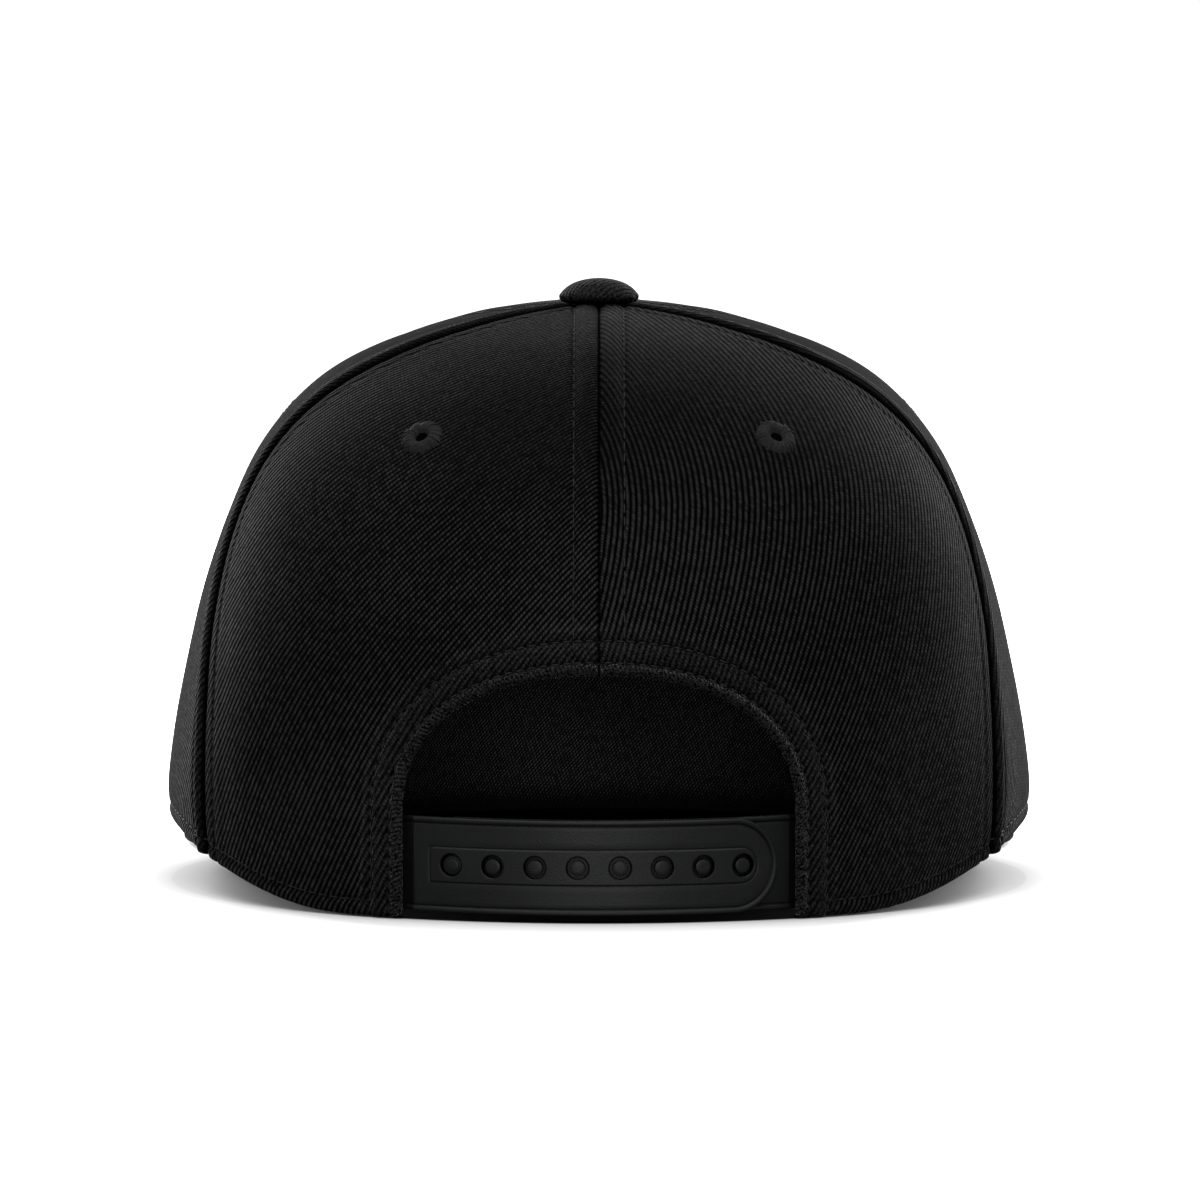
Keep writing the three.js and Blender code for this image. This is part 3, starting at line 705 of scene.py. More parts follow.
def cloth_material(name, pitch, angle, valley, rib, relief, yarn, yarn_depth=0.25):
    """Twill with a rib and yarn pitch in metres, its colour painted with shade in its valleys and painted
    with light on its ribs.
    """
    material, tree, shader = new_material(name, 0.9, 0.02, cloth_sheen, 0.22)
    place = object_place(tree)
    weave = add_node(tree, "ShaderNodeGroup", {
        "Map": add_node(tree, "ShaderNodeUVMap", uv_map="cloth"), "Rib pitch": pitch,
        "Rib angle": math.radians(angle), "Yarn pitch": yarn, "Yarn depth": yarn_depth,
        "Unevenness": pitch * 0.22}, node_tree=twill_group).outputs
    wear = add_node(tree, "ShaderNodeGroup", {"Place": place}, node_tree=wear_group).outputs

    # The real rib pattern, with its tops painted lit and its valleys painted in shade, each yarn a little
    # lighter or darker, and soft nap instead where cloth is folded
    crest = calculate(tree, "POWER", weave["Height"], crest_power)
    tone = calculate(tree, "MULTIPLY_ADD", weave["Yarn tone"], *yarn_tones)
    fading = calculate(tree, "MULTIPLY_ADD", wear["Fade"], *fade_tones)
    woven = calculate(tree, "MULTIPLY", calculate(tree, "MULTIPLY", crest, tone), fading)
    napped = calculate(tree, "MULTIPLY_ADD", wear["Fuzz"], *nap_tones)
    softened = calculate(tree, "MULTIPLY", painted(tree, "fuzzy"), nap_share)
    mask = add_node(tree, "ShaderNodeMix", {"Factor": softened, 2: woven, 3: napped}).outputs[0]
    # Painted shade, stored on the mesh, darkens seam grooves, stitch rows, holes, the button's underside, the
    # brim's root and the sweatband's foot
    outside_painted_shade = calculate(tree, "SUBTRACT", 1.0, painted(tree, "painted_shade"))

    # A painted glint where the cloth turns away from the viewer, most of all high on the crown, and painted
    # shade right at the outline up there, both only where the glint mask is set; the stored mask named raised
    # adds painted light and painted shade
    facing = add_node(tree, "ShaderNodeLayerWeight", {"Blend": 0.5}).outputs["Facing"]
    height = add_node(tree, "ShaderNodeSeparateXYZ", {0: place}).outputs[2]
    rise, fall = ramp(tree, facing, *glint_starts, 0.0, 1.0), ramp(tree, facing, *glint_ends, 1.0, 0.0)
    upper = ramp(tree, height, *upper_part, 0.0, 1.0)
    glint = calculate(tree, "MULTIPLY", calculate(tree, "MULTIPLY", rise, fall),
                      calculate(tree, "MULTIPLY_ADD", upper, 1.5, 0.6))
    rim = calculate(tree, "MULTIPLY", calculate(tree, "SUBTRACT", 1.0, fall),
                    calculate(tree, "MULTIPLY", upper, -0.6))
    painted_light_factor = calculate(tree, "MULTIPLY_ADD", calculate(tree, "ADD", glint, rim), painted(tree, "painted_glint_mask"),
                       calculate(tree, "ADD", painted(tree, "raised"), 1.0))
    shown = calculate(tree, "MULTIPLY", calculate(tree, "MULTIPLY", mask, outside_painted_shade), painted_light_factor)

    rough = calculate(tree, "MULTIPLY_ADD", wear["Fuzz"], 0.16, 0.8)
    tree.links.new(mixed_colour(tree, shown, valley, rib), shader["Base Color"])
    tree.links.new(calculate(tree, "MULTIPLY", shown, cloth_sheen), shader["Sheen Weight"])
    tree.links.new(rough, shader["Roughness"])
    add_bump(tree, shader, calculate(tree, "MULTIPLY_ADD", wear["Fuzz"], fuzz_bump, weave["Height"]), relief)
    return material


# The dark colour is painted shade in the ribs' valleys and the lit one painted light on their tops
twill_dark, twill_lit = (0.0003, 0.0003, 0.00033), (0.033, 0.033, 0.035)
panel_materials = {
    hand: cloth_material(f"twill {hand} gores", pitch, 59, twill_dark, twill_lit, 0.0004, 0.0007)
    for hand, pitch in (("left", 0.00116), ("right", 0.00108))
}
brim_material = cloth_material("twill brim", 0.00115, 45, twill_dark, twill_lit, 0.0004, 0.0007)
button_material = cloth_material("twill button", 0.0011, 50, (0.0012, 0.0012, 0.0013),
                                 (0.04, 0.04, 0.042), 0.00025, 0.0007)
# The sweatband's colours are painted far lighter than the black panels': painted light standing in for the
# little light that reaches inside the crown
band_material = cloth_material("sweatband twill", 0.00062, 45, (0.006, 0.006, 0.0064),
                               (0.15, 0.15, 0.158), 0.00012, 0.0008, 0.55)

# %% Thread and plastic
thread_material, tree, shader = new_material("black thread", 0.7, 0.05, 0.02)
ply = noise(tree, object_place(tree), 1900.0, 3.0)
dyed = mixed_colour(tree, ply, (0.01, 0.01, 0.0106), (0.042, 0.042, 0.0445))
tree.links.new(dyed, shader["Base Color"])
add_bump(tree, shader, ply, 0.0001)

strap_material, tree, shader = new_material("satin black plastic", 0.42, 0.23)
place = object_place(tree)
cloudy, grain = noise(tree, place, 60.0, 5.0), noise(tree, place, 3200.0, 2.0)
plastic = mixed_colour(tree, cloudy, (0.0095, 0.01, 0.0106), (0.0165, 0.0172, 0.0183))
# Painted shade from the stored mask: grooves, holes and the tails beside the arch's legs go nearly black
shaded = mixed_colour(tree, painted(tree, "painted_shade"), plastic, (0.0005, 0.0005, 0.0005))
tree.links.new(shaded, shader["Base Color"])
rough = calculate(tree, "ADD", calculate(tree, "MULTIPLY_ADD", cloudy, 0.2, 0.3),
                  calculate(tree, "MULTIPLY", grain, 0.1))
tree.links.new(rough, shader["Roughness"])
add_bump(tree, shader, grain, 0.00004)
print("materials:", len(bpy.data.materials))

# %% [markdown]
# The six panels. Left and right are mirror shapes, but the roll of twill isn't mirrored when the
# panels are cut, so the ribs lean the same way on both sides of the centre seam.

# %% Make the six panels
def finish_piece(piece, slot_name, material, *nodes):
    piece.data.materials.clear()
    piece.data.materials.append(material)
    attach(piece, "root")
    if nodes:
        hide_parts(*nodes)
    return piece


eyelet_share, back_eyelet_angle, side_eyelet_shift = 0.5395, math.radians(32.7), math.radians(14)


def eyelet_angle(kind):
    if kind == "back":
        return back_eyelet_angle
    start, end = gores[kind]["lines"]
    middle = float(seam_angle(start, eyelet_share) + seam_angle(end, eyelet_share)) / 2
    return middle + (side_eyelet_shift if kind == "side" else 0)


def seated(points, gap):
    """Close the small gap that the CAD leaves between the crown's front hem and the brim."""
    angle = np.arctan2(points[..., 0], points[..., 1])
    over_brim = eased((np.abs(np.degrees(angle)) - 88) / (brim_corner - 88))
    low = 1 - eased((points[..., 2] - hem_height(angle)) / 6)
    return points - np.stack([np.zeros(low.shape), np.zeros(low.shape), gap * over_brim * low], -1)


# The ribs' angle at heights up the cloth, as blocking bent them on each side of the centre seam
rib_heights = np.array([0, 0.02, 0.045, 0.06, 0.08, 0.10, 0.13])
rib_angles = {"left": [59, 59, 53, 49, 51, 51, 51], "right": [59, 59, 66, 69.5, 70, 79, 83]}


def stretched(flat, hand):
    """The flat map, turned for its hand and bent so that the ribs lean as the table says."""
    across = flat[..., 0] * (-1 if hand == "left" else 1)  # not mirrored with the panel
    heights = np.linspace(0, 0.2, 401)
    lean = np.radians(np.interp(heights, rib_heights, rib_angles[hand]))
    slope = 1 / np.tan(lean[0]) - 1 / np.tan(lean)
    shift = np.concatenate([[0], np.cumsum((slope[1:] + slope[:-1]) / 2 * np.diff(heights))])
    return np.stack([across + np.interp(flat[..., 1], heights, shift), flat[..., 1]], -1)


def hand_sign(hand):
    return 1 if hand == "left" else -1


def panel_masks(kind, smooth, from_seams, from_arch):
    """Where the twill is napped, darkened with painted shade, lightened with painted light or given a painted
    glint, as numbers at every point.
    """
    seam_starts = (0.5 if kind == "side" else 0.1, 0.2)
    fuzzy = 0.5 * (1 - eased((np.minimum(*from_seams) - 4) / 3))
    # Painted shade in the grooves of both seams
    painted_shade = np.maximum(painted_shade_near(from_seams[0], seam_starts[0], 0.4),
                        painted_shade_near(from_seams[1], seam_starts[1], 0.35))
    # Painted shade: the crown darker towards its top and the side panels darker, where the lamps light them
    # most
    raised = -0.42 * eased((smooth[..., 2] - 72) / 28) - (0.3 if kind == "side" else 0)
    if kind == "back":
        turned_edge, arch_band = 1 - eased((from_arch - 2) / 0.7), 1 - eased((from_arch - 7) / 3)
        fuzzy = np.maximum(0.5 * (1 - eased((from_seams[1] - 5) / 5)), 1.6 * turned_edge)
        fuzzy = np.maximum(fuzzy, 0.7 * arch_band)
        # Painted shade in the rear seam's groove and along both stitch rows round the arch
        painted_shade = np.maximum(painted_shade, painted_shade_near(from_seams[1], 0.3, 0.5))
        for row in arch_rows:
            painted_shade = np.maximum(painted_shade, 0.8 * np.exp(-(((from_arch - row) / 0.3) ** 2)))
        # Painted light on the arch's band and its turned edge, which faces down into shade
        raised = raised + 0.1 * (1 - eased(from_arch - 6.5)) + 0.6 * (1 - eased((from_arch - 2) / 0.6))
    fuzzy = np.maximum(fuzzy, 0.6 * eased((smooth[..., 2] - 78) / 28))
    from_eyelet = np.linalg.norm(smooth - crown_point(eyelet_angle(kind), eyelet_share), axis=-1)
    # Painted shade in the eyelet's hole
    painted_shade = np.maximum(painted_shade, painted_shade_near(from_eyelet, 2.6, 1.2))
    # The painted glint and the painted shade at the outline go on the side panels only
    painted_glint_mask = np.full(fuzzy.shape, 1.0 if kind == "side" else 0.0)
    return {"fuzzy": fuzzy, "painted_shade": painted_shade, "painted_glint_mask": painted_glint_mask, "raised": raised}


edge_columns = 11  # columns of the arch's turned edge, whose cloth runs along it
edge_stretch = 1.6
hem_drop = fit_gap + 0.2
for kind, (fraction, share) in grids.items():
    outer = seated(dressed(kind, fraction, share)[0], hem_drop)
    inner = seated(inner_face(kind, fraction, share), hem_drop)
    outer[..., 2], inner[..., 2] = (np.maximum(face[..., 2], rest_height) for face in (outer, inner))
    smooth, _, _, from_seams, from_arch = surface(kind, fraction, share)
    masks = panel_masks(kind, smooth, from_seams, from_arch)
    flat = gore_map(gores[kind], fraction, share)
    for hand in ("left", "right"):
        panel = add_slab(f"{kind}_panel_cloth_{hand}", mirrored(outer, hand), mirrored(inner, hand),
                         stretched(flat, hand), masks)
        if kind == "back":
            along_edge = path_lengths(outer[:, 0])[:, None] / 1000 * hand_sign(hand)
            edge_map = np.stack(np.broadcast_arrays(along_edge, from_arch / 1000), -1)
            remap_columns(panel, outer.shape, edge_columns, edge_stretch * edge_map)
        finish_piece(panel, "twill", panel_materials[hand], f"{kind}_panel_{hand}")
    print(kind, "panels:", len(panel.data.polygons), "faces each")

# %% [markdown]
# Stitches repeat along paths, so Geometry Nodes make them: a path is cut into equal steps and each
# step gets one short, thick float of thread, lying along the path and on the cloth. The tree's
# sizes are named inputs, and its result is turned into a plain mesh.

# %% The stitch tree
def geometry_tree(name, sizes):
    """A tree with named sizes. Whole numbers become counts and seeds."""
    tree = bpy.data.node_groups.new(name, "GeometryNodeTree")
    tree.interface.new_socket("Geometry", in_out="INPUT", socket_type="NodeSocketGeometry")
    for label, value in sizes.items():
        kind = "NodeSocketInt" if isinstance(value, int) else "NodeSocketFloat"
        tree.interface.new_socket(label, in_out="INPUT", socket_type=kind).default_value = value
    tree.interface.new_socket("Material", in_out="INPUT", socket_type="NodeSocketMaterial")
    tree.interface.new_socket("Geometry", in_out="OUTPUT", socket_type="NodeSocketGeometry")
    return tree, *set_ends(tree, -2300, 0)


def close_tree(tree, group_in, group_out, geometry):
    real = add_node(tree, "GeometryNodeRealizeInstances", {0: geometry})
    dyed = add_node(tree, "GeometryNodeSetMaterial", {"Geometry": real, "Material": group_in["Material"]})
    tree.links.new(dyed.outputs[0], group_out[0])


def stored(tree, name, kind):
    return add_node(tree, "GeometryNodeInputNamedAttribute", {"Name": name}, data_type=kind)


stitch_tree, stitch_in, stitch_out = geometry_tree("stitch row", {
    "Pitch": 0.0029, "Stitch length": 0.0024, "Thread width": 0.00045, "Thread height": 0.0004})
t = stitch_tree
curve = add_node(t, "GeometryNodeMeshToCurve", {0: stitch_in[0]})
even = add_node(t, "GeometryNodeResampleCurve", {"Curve": curve}, mode="LENGTH")
t.links.new(stitch_in["Pitch"], even.inputs["Length"])
tangent = add_node(t, "GeometryNodeInputTangent")
lie = add_node(t, "FunctionNodeAlignRotationToVector", {"Vector": tangent}, axis="X")
stand = add_node(t, "FunctionNodeAlignRotationToVector",
                 {"Rotation": lie, "Vector": stored(t, "up", "FLOAT_VECTOR")}, axis="Z", pivot_axis="X")
ball = add_node(t, "GeometryNodeMeshUVSphere", {"Segments": 6, "Rings": 6, "Radius": 0.5})
size = add_node(t, "ShaderNodeCombineXYZ", {
    k: stitch_in[label] for k, label in enumerate(("Stitch length", "Thread width", "Thread height"))})
one_stitch = add_node(t, "GeometryNodeTransform", {"Geometry": ball, "Scale": size})
sewn = add_node(t, "GeometryNodeInstanceOnPoints", {
    "Points": even, "Instance": one_stitch, "Rotation": stand})
close_tree(t, stitch_in, stitch_out, add_node(t, "GeometryNodeSetShadeSmooth", {0: sewn}))


# %% Growing a tree on a base mesh and keeping the plain result
def grow(name, base, tree, sizes, material):
    carrier = bpy.data.objects.new(name, base)
    bpy.context.scene.collection.objects.link(carrier)
    grower = carrier.modifiers.new("grow", "NODES")
    grower.node_group = tree
    wanted = {**sizes, "Material": material}
    for socket in tree.interface.items_tree:
        if socket.in_out == "INPUT" and socket.name in wanted:
            grower[socket.identifier] = wanted[socket.name]
    depsgraph = bpy.context.evaluated_depsgraph_get()
    plain = bpy.data.meshes.new_from_object(carrier.evaluated_get(depsgraph), depsgraph=depsgraph)
    carrier.modifiers.clear()
    carrier.data = plain
    plain.name = name
    return carrier


def path_mesh(name, paths):
    """A mesh of open paths. Each path is points in millimetres with the directions that stand up."""
    points, ups, edges = [], [], []
    for path, standing in paths:
        first = sum(len(p) for p in points)
        edges += [(first + k, first + k + 1) for k in range(len(path) - 1)]
        points.append(path)
        ups.append(standing)
    mesh = bpy.data.meshes.new(name)
    mesh.from_pydata(to_metres(np.concatenate(points)).tolist(), edges, [])
    attribute = mesh.attributes.new("up", "FLOAT_VECTOR", "POINT")
    attribute.data.foreach_set("vector", np.concatenate(ups).astype(np.float32).ravel())
    return mesh


def both_hands(paths):
    return paths + [(path * flip, standing * flip) for path, standing in paths]


# %% [markdown]
# Where the stitch rows run: beside every seam, round the arch twice, and above the hem. A row is
# found on the flat gore as the line at a set distance from its seam, then lifted onto the cloth.

# %% Find the rows on the crown
def row_beside_seam(kind, side, low_share):
    gore = gores[kind]
    tip = float(tip_share(gore, np.array(0.5)))
    shares = np.linspace(low_share, tip - 0.004, 170)
    seam = seam_paths[gore["lines"][side]]
    width = np.interp(shares, table_shares, gore["width"])
    reach = np.linspace(0, 12, 40)[None] / width[:, None]
    keep = width > 2.3 * stitch_inset
    fractions = np.clip(reach if side == 0 else 1 - reach, 0, 1)
    distance = distance_to_path(gore_point(kind, fractions, shares[:, None]), seam)
    found = np.array([np.interp(stitch_inset, d, f) for d, f in zip(distance, fractions)])
    return found[keep], shares[keep]


def row_round_arch(distance):
    fraction, share = (grid[:, :40] for grid in grids["back"])
    away = distance_to_path(gore_point("back", fraction, share), arch_path)
    return np.array([(np.interp(distance, a, f), np.interp(distance, a, s))
                     for a, f, s in zip(away, fraction, share)]).T


thread_lift = 0.1  # how high the thread's middle lies over the cloth
first_share = 0.017  # where the rows beside the seams start, just above the hem
lowest_stitch = 1.2
seam_rows = []
for kind in gores:
    for side in (0, 1):
        found, shares = row_beside_seam(kind, side, first_share)
        if kind == "back" and side == 0:
            smooth = gore_point(kind, found, shares)
            clear = (distance_to_path(smooth, arch_path) > 1.7) & (smooth[:, 2] > arch_height - 1)
            found, shares = found[clear], shares[clear]
        seam_rows.append(dressed(kind, found, shares, thread_lift))
arch_stitches = []
for distance in arch_rows:
    points, normals = dressed("back", *row_round_arch(distance), thread_lift)
    clear = points[:, 2] > lowest_stitch
    arch_stitches.append((points[clear], normals[clear]))

hem_rows = []
for kind, start, count in (("back", row_round_arch(arch_rows[1])[0][-1], 90), ("side", 0.004, 120)):
    fraction = np.linspace(start, 0.996, count)
    share = np.interp(hem_stitch, gores[kind]["length"], table_shares) + np.zeros(count)
    for _ in range(6):
        angle = gore_angle(gores[kind], fraction, share)
        miss = crown_point(angle, share)[:, 2] - hem_height(angle) - hem_stitch
        share = np.clip(share - miss / crown_height, 0, 1)
    hem_rows.append(dressed(kind, fraction, share, thread_lift))
print("rows beside seams:", len(seam_rows), "- round the arch:", len(arch_stitches), "- hem:", len(hem_rows))

# %% Sew them
topstitch = {"Pitch": 0.0029, "Stitch length": 0.0025, "Thread width": 0.0003, "Thread height": 0.0003}
arch_stitch = {"Pitch": 0.0023, "Stitch length": 0.00185, "Thread width": 0.00036, "Thread height": 0.00036}


def sew(name, rows, sizes=topstitch):
    sewn = grow(name, path_mesh(name + "_path", rows), stitch_tree, sizes, thread_material)
    finish_piece(sewn, "thread", thread_material)
    print(name, len(sewn.data.polygons), "faces")


sew("seam_topstitch", both_hands(seam_rows))
sew("arch_stitches", both_hands(arch_stitches), arch_stitch)
sew("hem_stitches", both_hands(hem_rows))

# %% [markdown]
# An embroidered eyelet is a ring of satin stitch: some fifty threads run from the round hole over a
# padded rim to the outer edge. The rim is turned from a profile, and Geometry Nodes lay the threads
# round it, each a little longer or shorter than the next.

# %% The eyelet tree
eyelet_tree, eyelet_in, eyelet_out = geometry_tree("satin eyelet", {
    "Hole": 0.0013, "Outer": 0.0042, "Rise": 0.0012, "Thread": 0.00019, "Threads": 50, "Seed": 4})
t = eyelet_tree


def uneven(low, high):
    """A number that differs from thread to thread."""
    inputs = {2: low, 3: high, "Seed": eyelet_in["Seed"]}
    return add_node(t, "FunctionNodeRandomValue", inputs, data_type="FLOAT").outputs[1]


def arc_point(reach, reach_share, rise_share):
    """A point that steers a thread's arc, at shares of a named reach and of the rise."""
    return add_node(t, "ShaderNodeCombineXYZ", {
        0: calculate(t, "MULTIPLY", eyelet_in[reach], reach_share),
        2: calculate(t, "MULTIPLY", eyelet_in["Rise"], rise_share)})


hub = add_node(t, "GeometryNodePoints", {"Count": eyelet_in["Threads"]})
turn_share = calculate(t, "DIVIDE", add_node(t, "GeometryNodeInputIndex"), eyelet_in["Threads"])
turn_by = calculate(t, "ADD", calculate(t, "MULTIPLY", turn_share, 2 * math.pi), uneven(-0.05, 0.05))
turning = add_node(t, "ShaderNodeCombineXYZ", {2: turn_by})
stretch = uneven(0.93, 1.06)
growth = add_node(t, "ShaderNodeCombineXYZ", {0: stretch, 1: 1.0, 2: stretch})
arc = add_node(t, "GeometryNodeCurveQuadraticBezier", {
    "Resolution": 7, "Start": arc_point("Hole", 0.96, -0.25), "Middle": arc_point("Outer", 0.55, 2.05),
    "End": arc_point("Outer", 1.0, -0.1)})
section = add_node(t, "GeometryNodeCurvePrimitiveCircle", {"Resolution": 5, "Radius": eyelet_in["Thread"]})
strand = add_node(t, "GeometryNodeCurveToMesh", {"Curve": arc, "Profile Curve": section})
laid = add_node(t, "GeometryNodeInstanceOnPoints", {
    "Points": hub, "Instance": strand, "Rotation": turning, "Scale": growth})
whole = add_node(t, "GeometryNodeJoinGeometry")
t.links.new(eyelet_in[0], whole.inputs[0])
t.links.new(laid.outputs[0], whole.inputs[0])
close_tree(t, eyelet_in, eyelet_out, add_node(t, "GeometryNodeSetShadeSmooth", {0: whole}))


# %% Turn the padded rim and set the six eyelets
eyelet_radius, eyelet_hole, eyelet_rise = 4.25, 1.3, 1.25
eyelet_lift = 0.1


def lathe_mesh(name, profile, segments):
    """A closed ring turned from radii and heights in millimetres, as a bare mesh in metres."""
    profile = np.array(profile)
    turns = np.linspace(0, 2 * math.pi, segments, endpoint=False)
    x, y = profile[:, None, 0] * np.cos(turns), profile[:, None, 0] * np.sin(turns)
    points = np.stack([x, y, np.broadcast_to(profile[:, None, 1], x.shape)], -1).reshape(-1, 3) / 1000
    ids = np.arange(len(points)).reshape(x.shape)
    above = np.roll(ids, -1, axis=0)
    faces = quads(ids, np.roll(ids, -1, axis=1), np.roll(above, -1, axis=1), above)
    mesh = bpy.data.meshes.new(name)
    mesh.from_pydata(points.tolist(), [], faces.tolist())
    mesh.shade_smooth()
    return mesh


rim_profile = [(eyelet_hole * 1.02, -0.9)] + [
    ((1 - s) ** 2 * eyelet_hole + 2 * s * (1 - s) * 0.55 * eyelet_radius + s * s * eyelet_radius * 0.985,
     ((1 - s) ** 2 * -0.25 + 2 * s * (1 - s) * 1.95 - s * s * 0.1) * eyelet_rise)
    for s in np.linspace(0, 1, 12)
] + [(2.15, -0.35), (2.15, -0.9)]

for kind in gores:
    for hand in ("left", "right"):
        seed = 4 + len(kind) + (7 if hand == "left" else 0)
        ring = grow(f"{kind}_eyelet_thread_{hand}", lathe_mesh("rim", rim_profile, 40), eyelet_tree,
                    {"Seed": seed}, thread_material)
        angle = eyelet_angle(kind) * hand_sign(hand)
        middle, out = crown_point(angle, eyelet_share), crown_normal(angle, eyelet_share)
        turn = Vector(out).to_track_quat("Z", "Y").to_matrix().to_4x4()
        turn.translation = Vector(to_metres(middle + out * eyelet_lift))
        ring.data.transform(turn)
        finish_piece(ring, "thread", thread_material, f"{kind}_eyelet_{hand}")
print("eyelet:", len(ring.data.polygons), "faces")

# %% [markdown]
# The button is a metal dome covered in a disc of the same twill. The cloth is stretched smooth over
# the top and gathered under the rim, so small folds run into the underside.

# %% The covered button
# Radii and heights from the middle of the top, over the rim and in under it, down the shank
dome = np.array([
    [0, 5.8], [1.6, 5.7], [3.2, 5.44], [4.5, 5.08], [5.6, 4.62], [6.6, 4.0], [7.35, 3.35], [7.85, 2.75],
    [8.13, 2.3], [8.05, 1.7], [7.75, 1.2], [7.2, 0.85], [6.3, 0.62], [5.0, 0.5], [4.2, 0.45],
    [4.0, -1.8], [0, -1.8],
])
rings = np.vstack([along_table(dome[:15], np.linspace(0, 1, 40)), dome[15:]])
turns = np.linspace(0, 2 * math.pi, 120, endpoint=False)
radius, height = (rings[:, None, k] * np.ones(len(turns)) for k in (0, 1))
gathered = eased((3.4 - height) / 2.2) * (radius > 4.3)
folds = 0.16 * np.sin(23 * turns + 0.8 * np.sin(3 * turns)) + 0.1 * np.sin(37 * turns + 1)
radius = radius + gathered * folds
height = height + 0.1 * np.sin(2 * turns + 0.6) * (radius / 8) ** 2 * (height > 0)
button_points = np.stack([radius * np.sin(turns), radius * np.cos(turns), crown_height + height], -1)
spread = path_lengths(rings)[:, None]
button_map = np.stack([spread * np.sin(turns), spread * np.cos(turns)], -1) / 1000
ids = np.arange(radius.size).reshape(radius.shape)
ids = np.hstack([ids, ids[:, :1]])
faces = quads(ids[:-1, :-1], ids[:-1, 1:], ids[1:, 1:], ids[1:, :-1])
# Painted shade on the gathered underside, darker towards the bottom
button_masks = {"fuzzy": np.full(height.shape, 1.2), "painted_shade": 1 - eased((height - 0.8) / 1.3)}
button = add_object("covered_button", button_points.reshape(-1, 3), faces, button_map.reshape(-1, 2),
                    button_masks)
finish_piece(button, "twill", button_material, "top_button")
print("button:", len(button.data.polygons), "faces")

# %% [markdown]
# The brim is a stiff board between two cloth covers, held by eight rows of stitches that follow its
# outer edge. Each cover is a slab whose rows run from the crown to the edge. The photo doesn't show
# it, so it is finished as on a usual flat-brim cap.

# %% The brim's covers and their stitch rows
band_wall = 1.4
brim_row_pitch = 6.2
brim_rows = 5.5 + brim_row_pitch * np.arange(8)
edge_path = brim_edge(np.linspace(-1, 1, 321))
brim_inset = front_wall + band_wall + 2 * fit_gap
turn_step = 0.004


def hem_inset(angle, depth):
    """The hem's outline, moved inwards by a depth."""
    plan = hem_plan(angle)
    run = hem_plan(angle + turn_step) - hem_plan(angle - turn_step)
    run = run / np.linalg.norm(run, axis=-1, keepdims=True)
    return np.stack([plan[..., 0] + run[..., 1] * depth, plan[..., 1] - run[..., 0] * depth], -1)


def brim_cover_grids(low, high, face_up):
    columns = np.linspace(-1, 1, 181)
    swing = math.pi + (math.pi - math.radians(brim_corner)) * -columns
    root, edge = hem_inset(swing, brim_inset), brim_edge(columns)
    closing = np.sin(np.linspace(0, math.pi / 2, 9)[1:])
    rows = np.concatenate([np.linspace(0, 0.955, 92), 1 - 0.045 * (1 - closing)])
    plan = root + (edge - root) * rows[:, None, None]
    away = distance_to_path(plan, edge_path)
    relief = rolled(away, 1.7, 0.72) + slow_waves(np.dstack([plan, np.zeros(away.shape)]), 0.06)
    for at in brim_rows:
        relief = relief + groove(away, at, 0.22, 0.55)
    between_rows = (away > brim_rows[0]) * (away < brim_rows[-1])
    relief = relief + 0.1 * np.abs(np.sin(math.pi * (away - brim_rows[0]) / brim_row_pitch)) * between_rows
    under = brim_under(plan[..., 0], plan[..., 1])
    outer = np.dstack([plan, under + (high + relief if face_up else low - relief)])
    inner = np.dstack([plan, under + (low if face_up else high)])
    root_shade = np.broadcast_to(1 - eased(rows[:, None] / 0.03), away.shape)
    outward = (edge - root) / np.linalg.norm(edge - root, axis=-1, keepdims=True)
    return outer, inner, plan / 1000, root_shade, outward * map_turn


def brim_row(at, height, up):
    """One row of stitches at a distance from the brim's edge, cut off where it meets the crown."""
    run = np.diff(edge_path, axis=0, append=[2 * edge_path[-1] - edge_path[-2]])
    run = run / np.linalg.norm(run, axis=-1, keepdims=True)
    line = edge_path + np.stack([-run[:, 1], run[:, 0]], -1) * at
    angle = np.arctan2(line[:, 0] / crown_width * 2, line[:, 1] / front_depth)
    outside = np.hypot(*line.T) > np.hypot(*hem_plan(angle).T) + 1.0
    line = line[outside & (distance_to_path(line, edge_path) > at - 0.3)]
    z = brim_under(line[:, 0], line[:, 1]) + height
    return np.column_stack([line, z]), np.tile([0, 0, up], (len(line), 1))


for name, node, low, high, face_up in (
    ("brim_upper_cloth", "brim_top_cover", brim_cover + 0.06, brim_thickness - 0.05, True),
    ("brim_lower_cloth", "brim_under_cover", 0.08, brim_cover - 0.02, False),
):
    outer, inner, flat, root_shade, outward = brim_cover_grids(low, high, face_up)
    if not face_up:
        outer[..., 2] = np.maximum(outer[..., 2], rest_height)
    cover = add_slab(name, outer, inner, flat, {"painted_shade": root_shade}, outward)
    finish_piece(cover, "twill", brim_material, node)
    print(name, len(cover.data.polygons), "faces")
    thread_height = high - 0.05 if face_up else low + 0.05
    sew(name + "_stitches", [brim_row(at, thread_height, 1.0 if face_up else -1.0) for at in brim_rows])

# %% [markdown]
# The sweatband is a folded strip of fine twill that lines the head opening. It is what the photo
# shows, almost black, through the arch. It follows the hem inside the panels, leans in with them and
# stands off where the strap's tails are sewn in.

# %% The sweatband
band_height = 31.0
band_fold = 2.2  # how far below the top the fold is stitched down
strap_tail, outer_strap_wall, inner_strap_wall = 11.0, 1.5, 1.3

fine_angles = np.linspace(0, math.pi, 2001)
fine_lengths = path_lengths(hem_plan(fine_angles))


def angle_at_length(length):
    """The angle at a length along the hem from the back centre."""
    return np.sign(length) * np.interp(np.abs(length), fine_lengths, fine_angles)


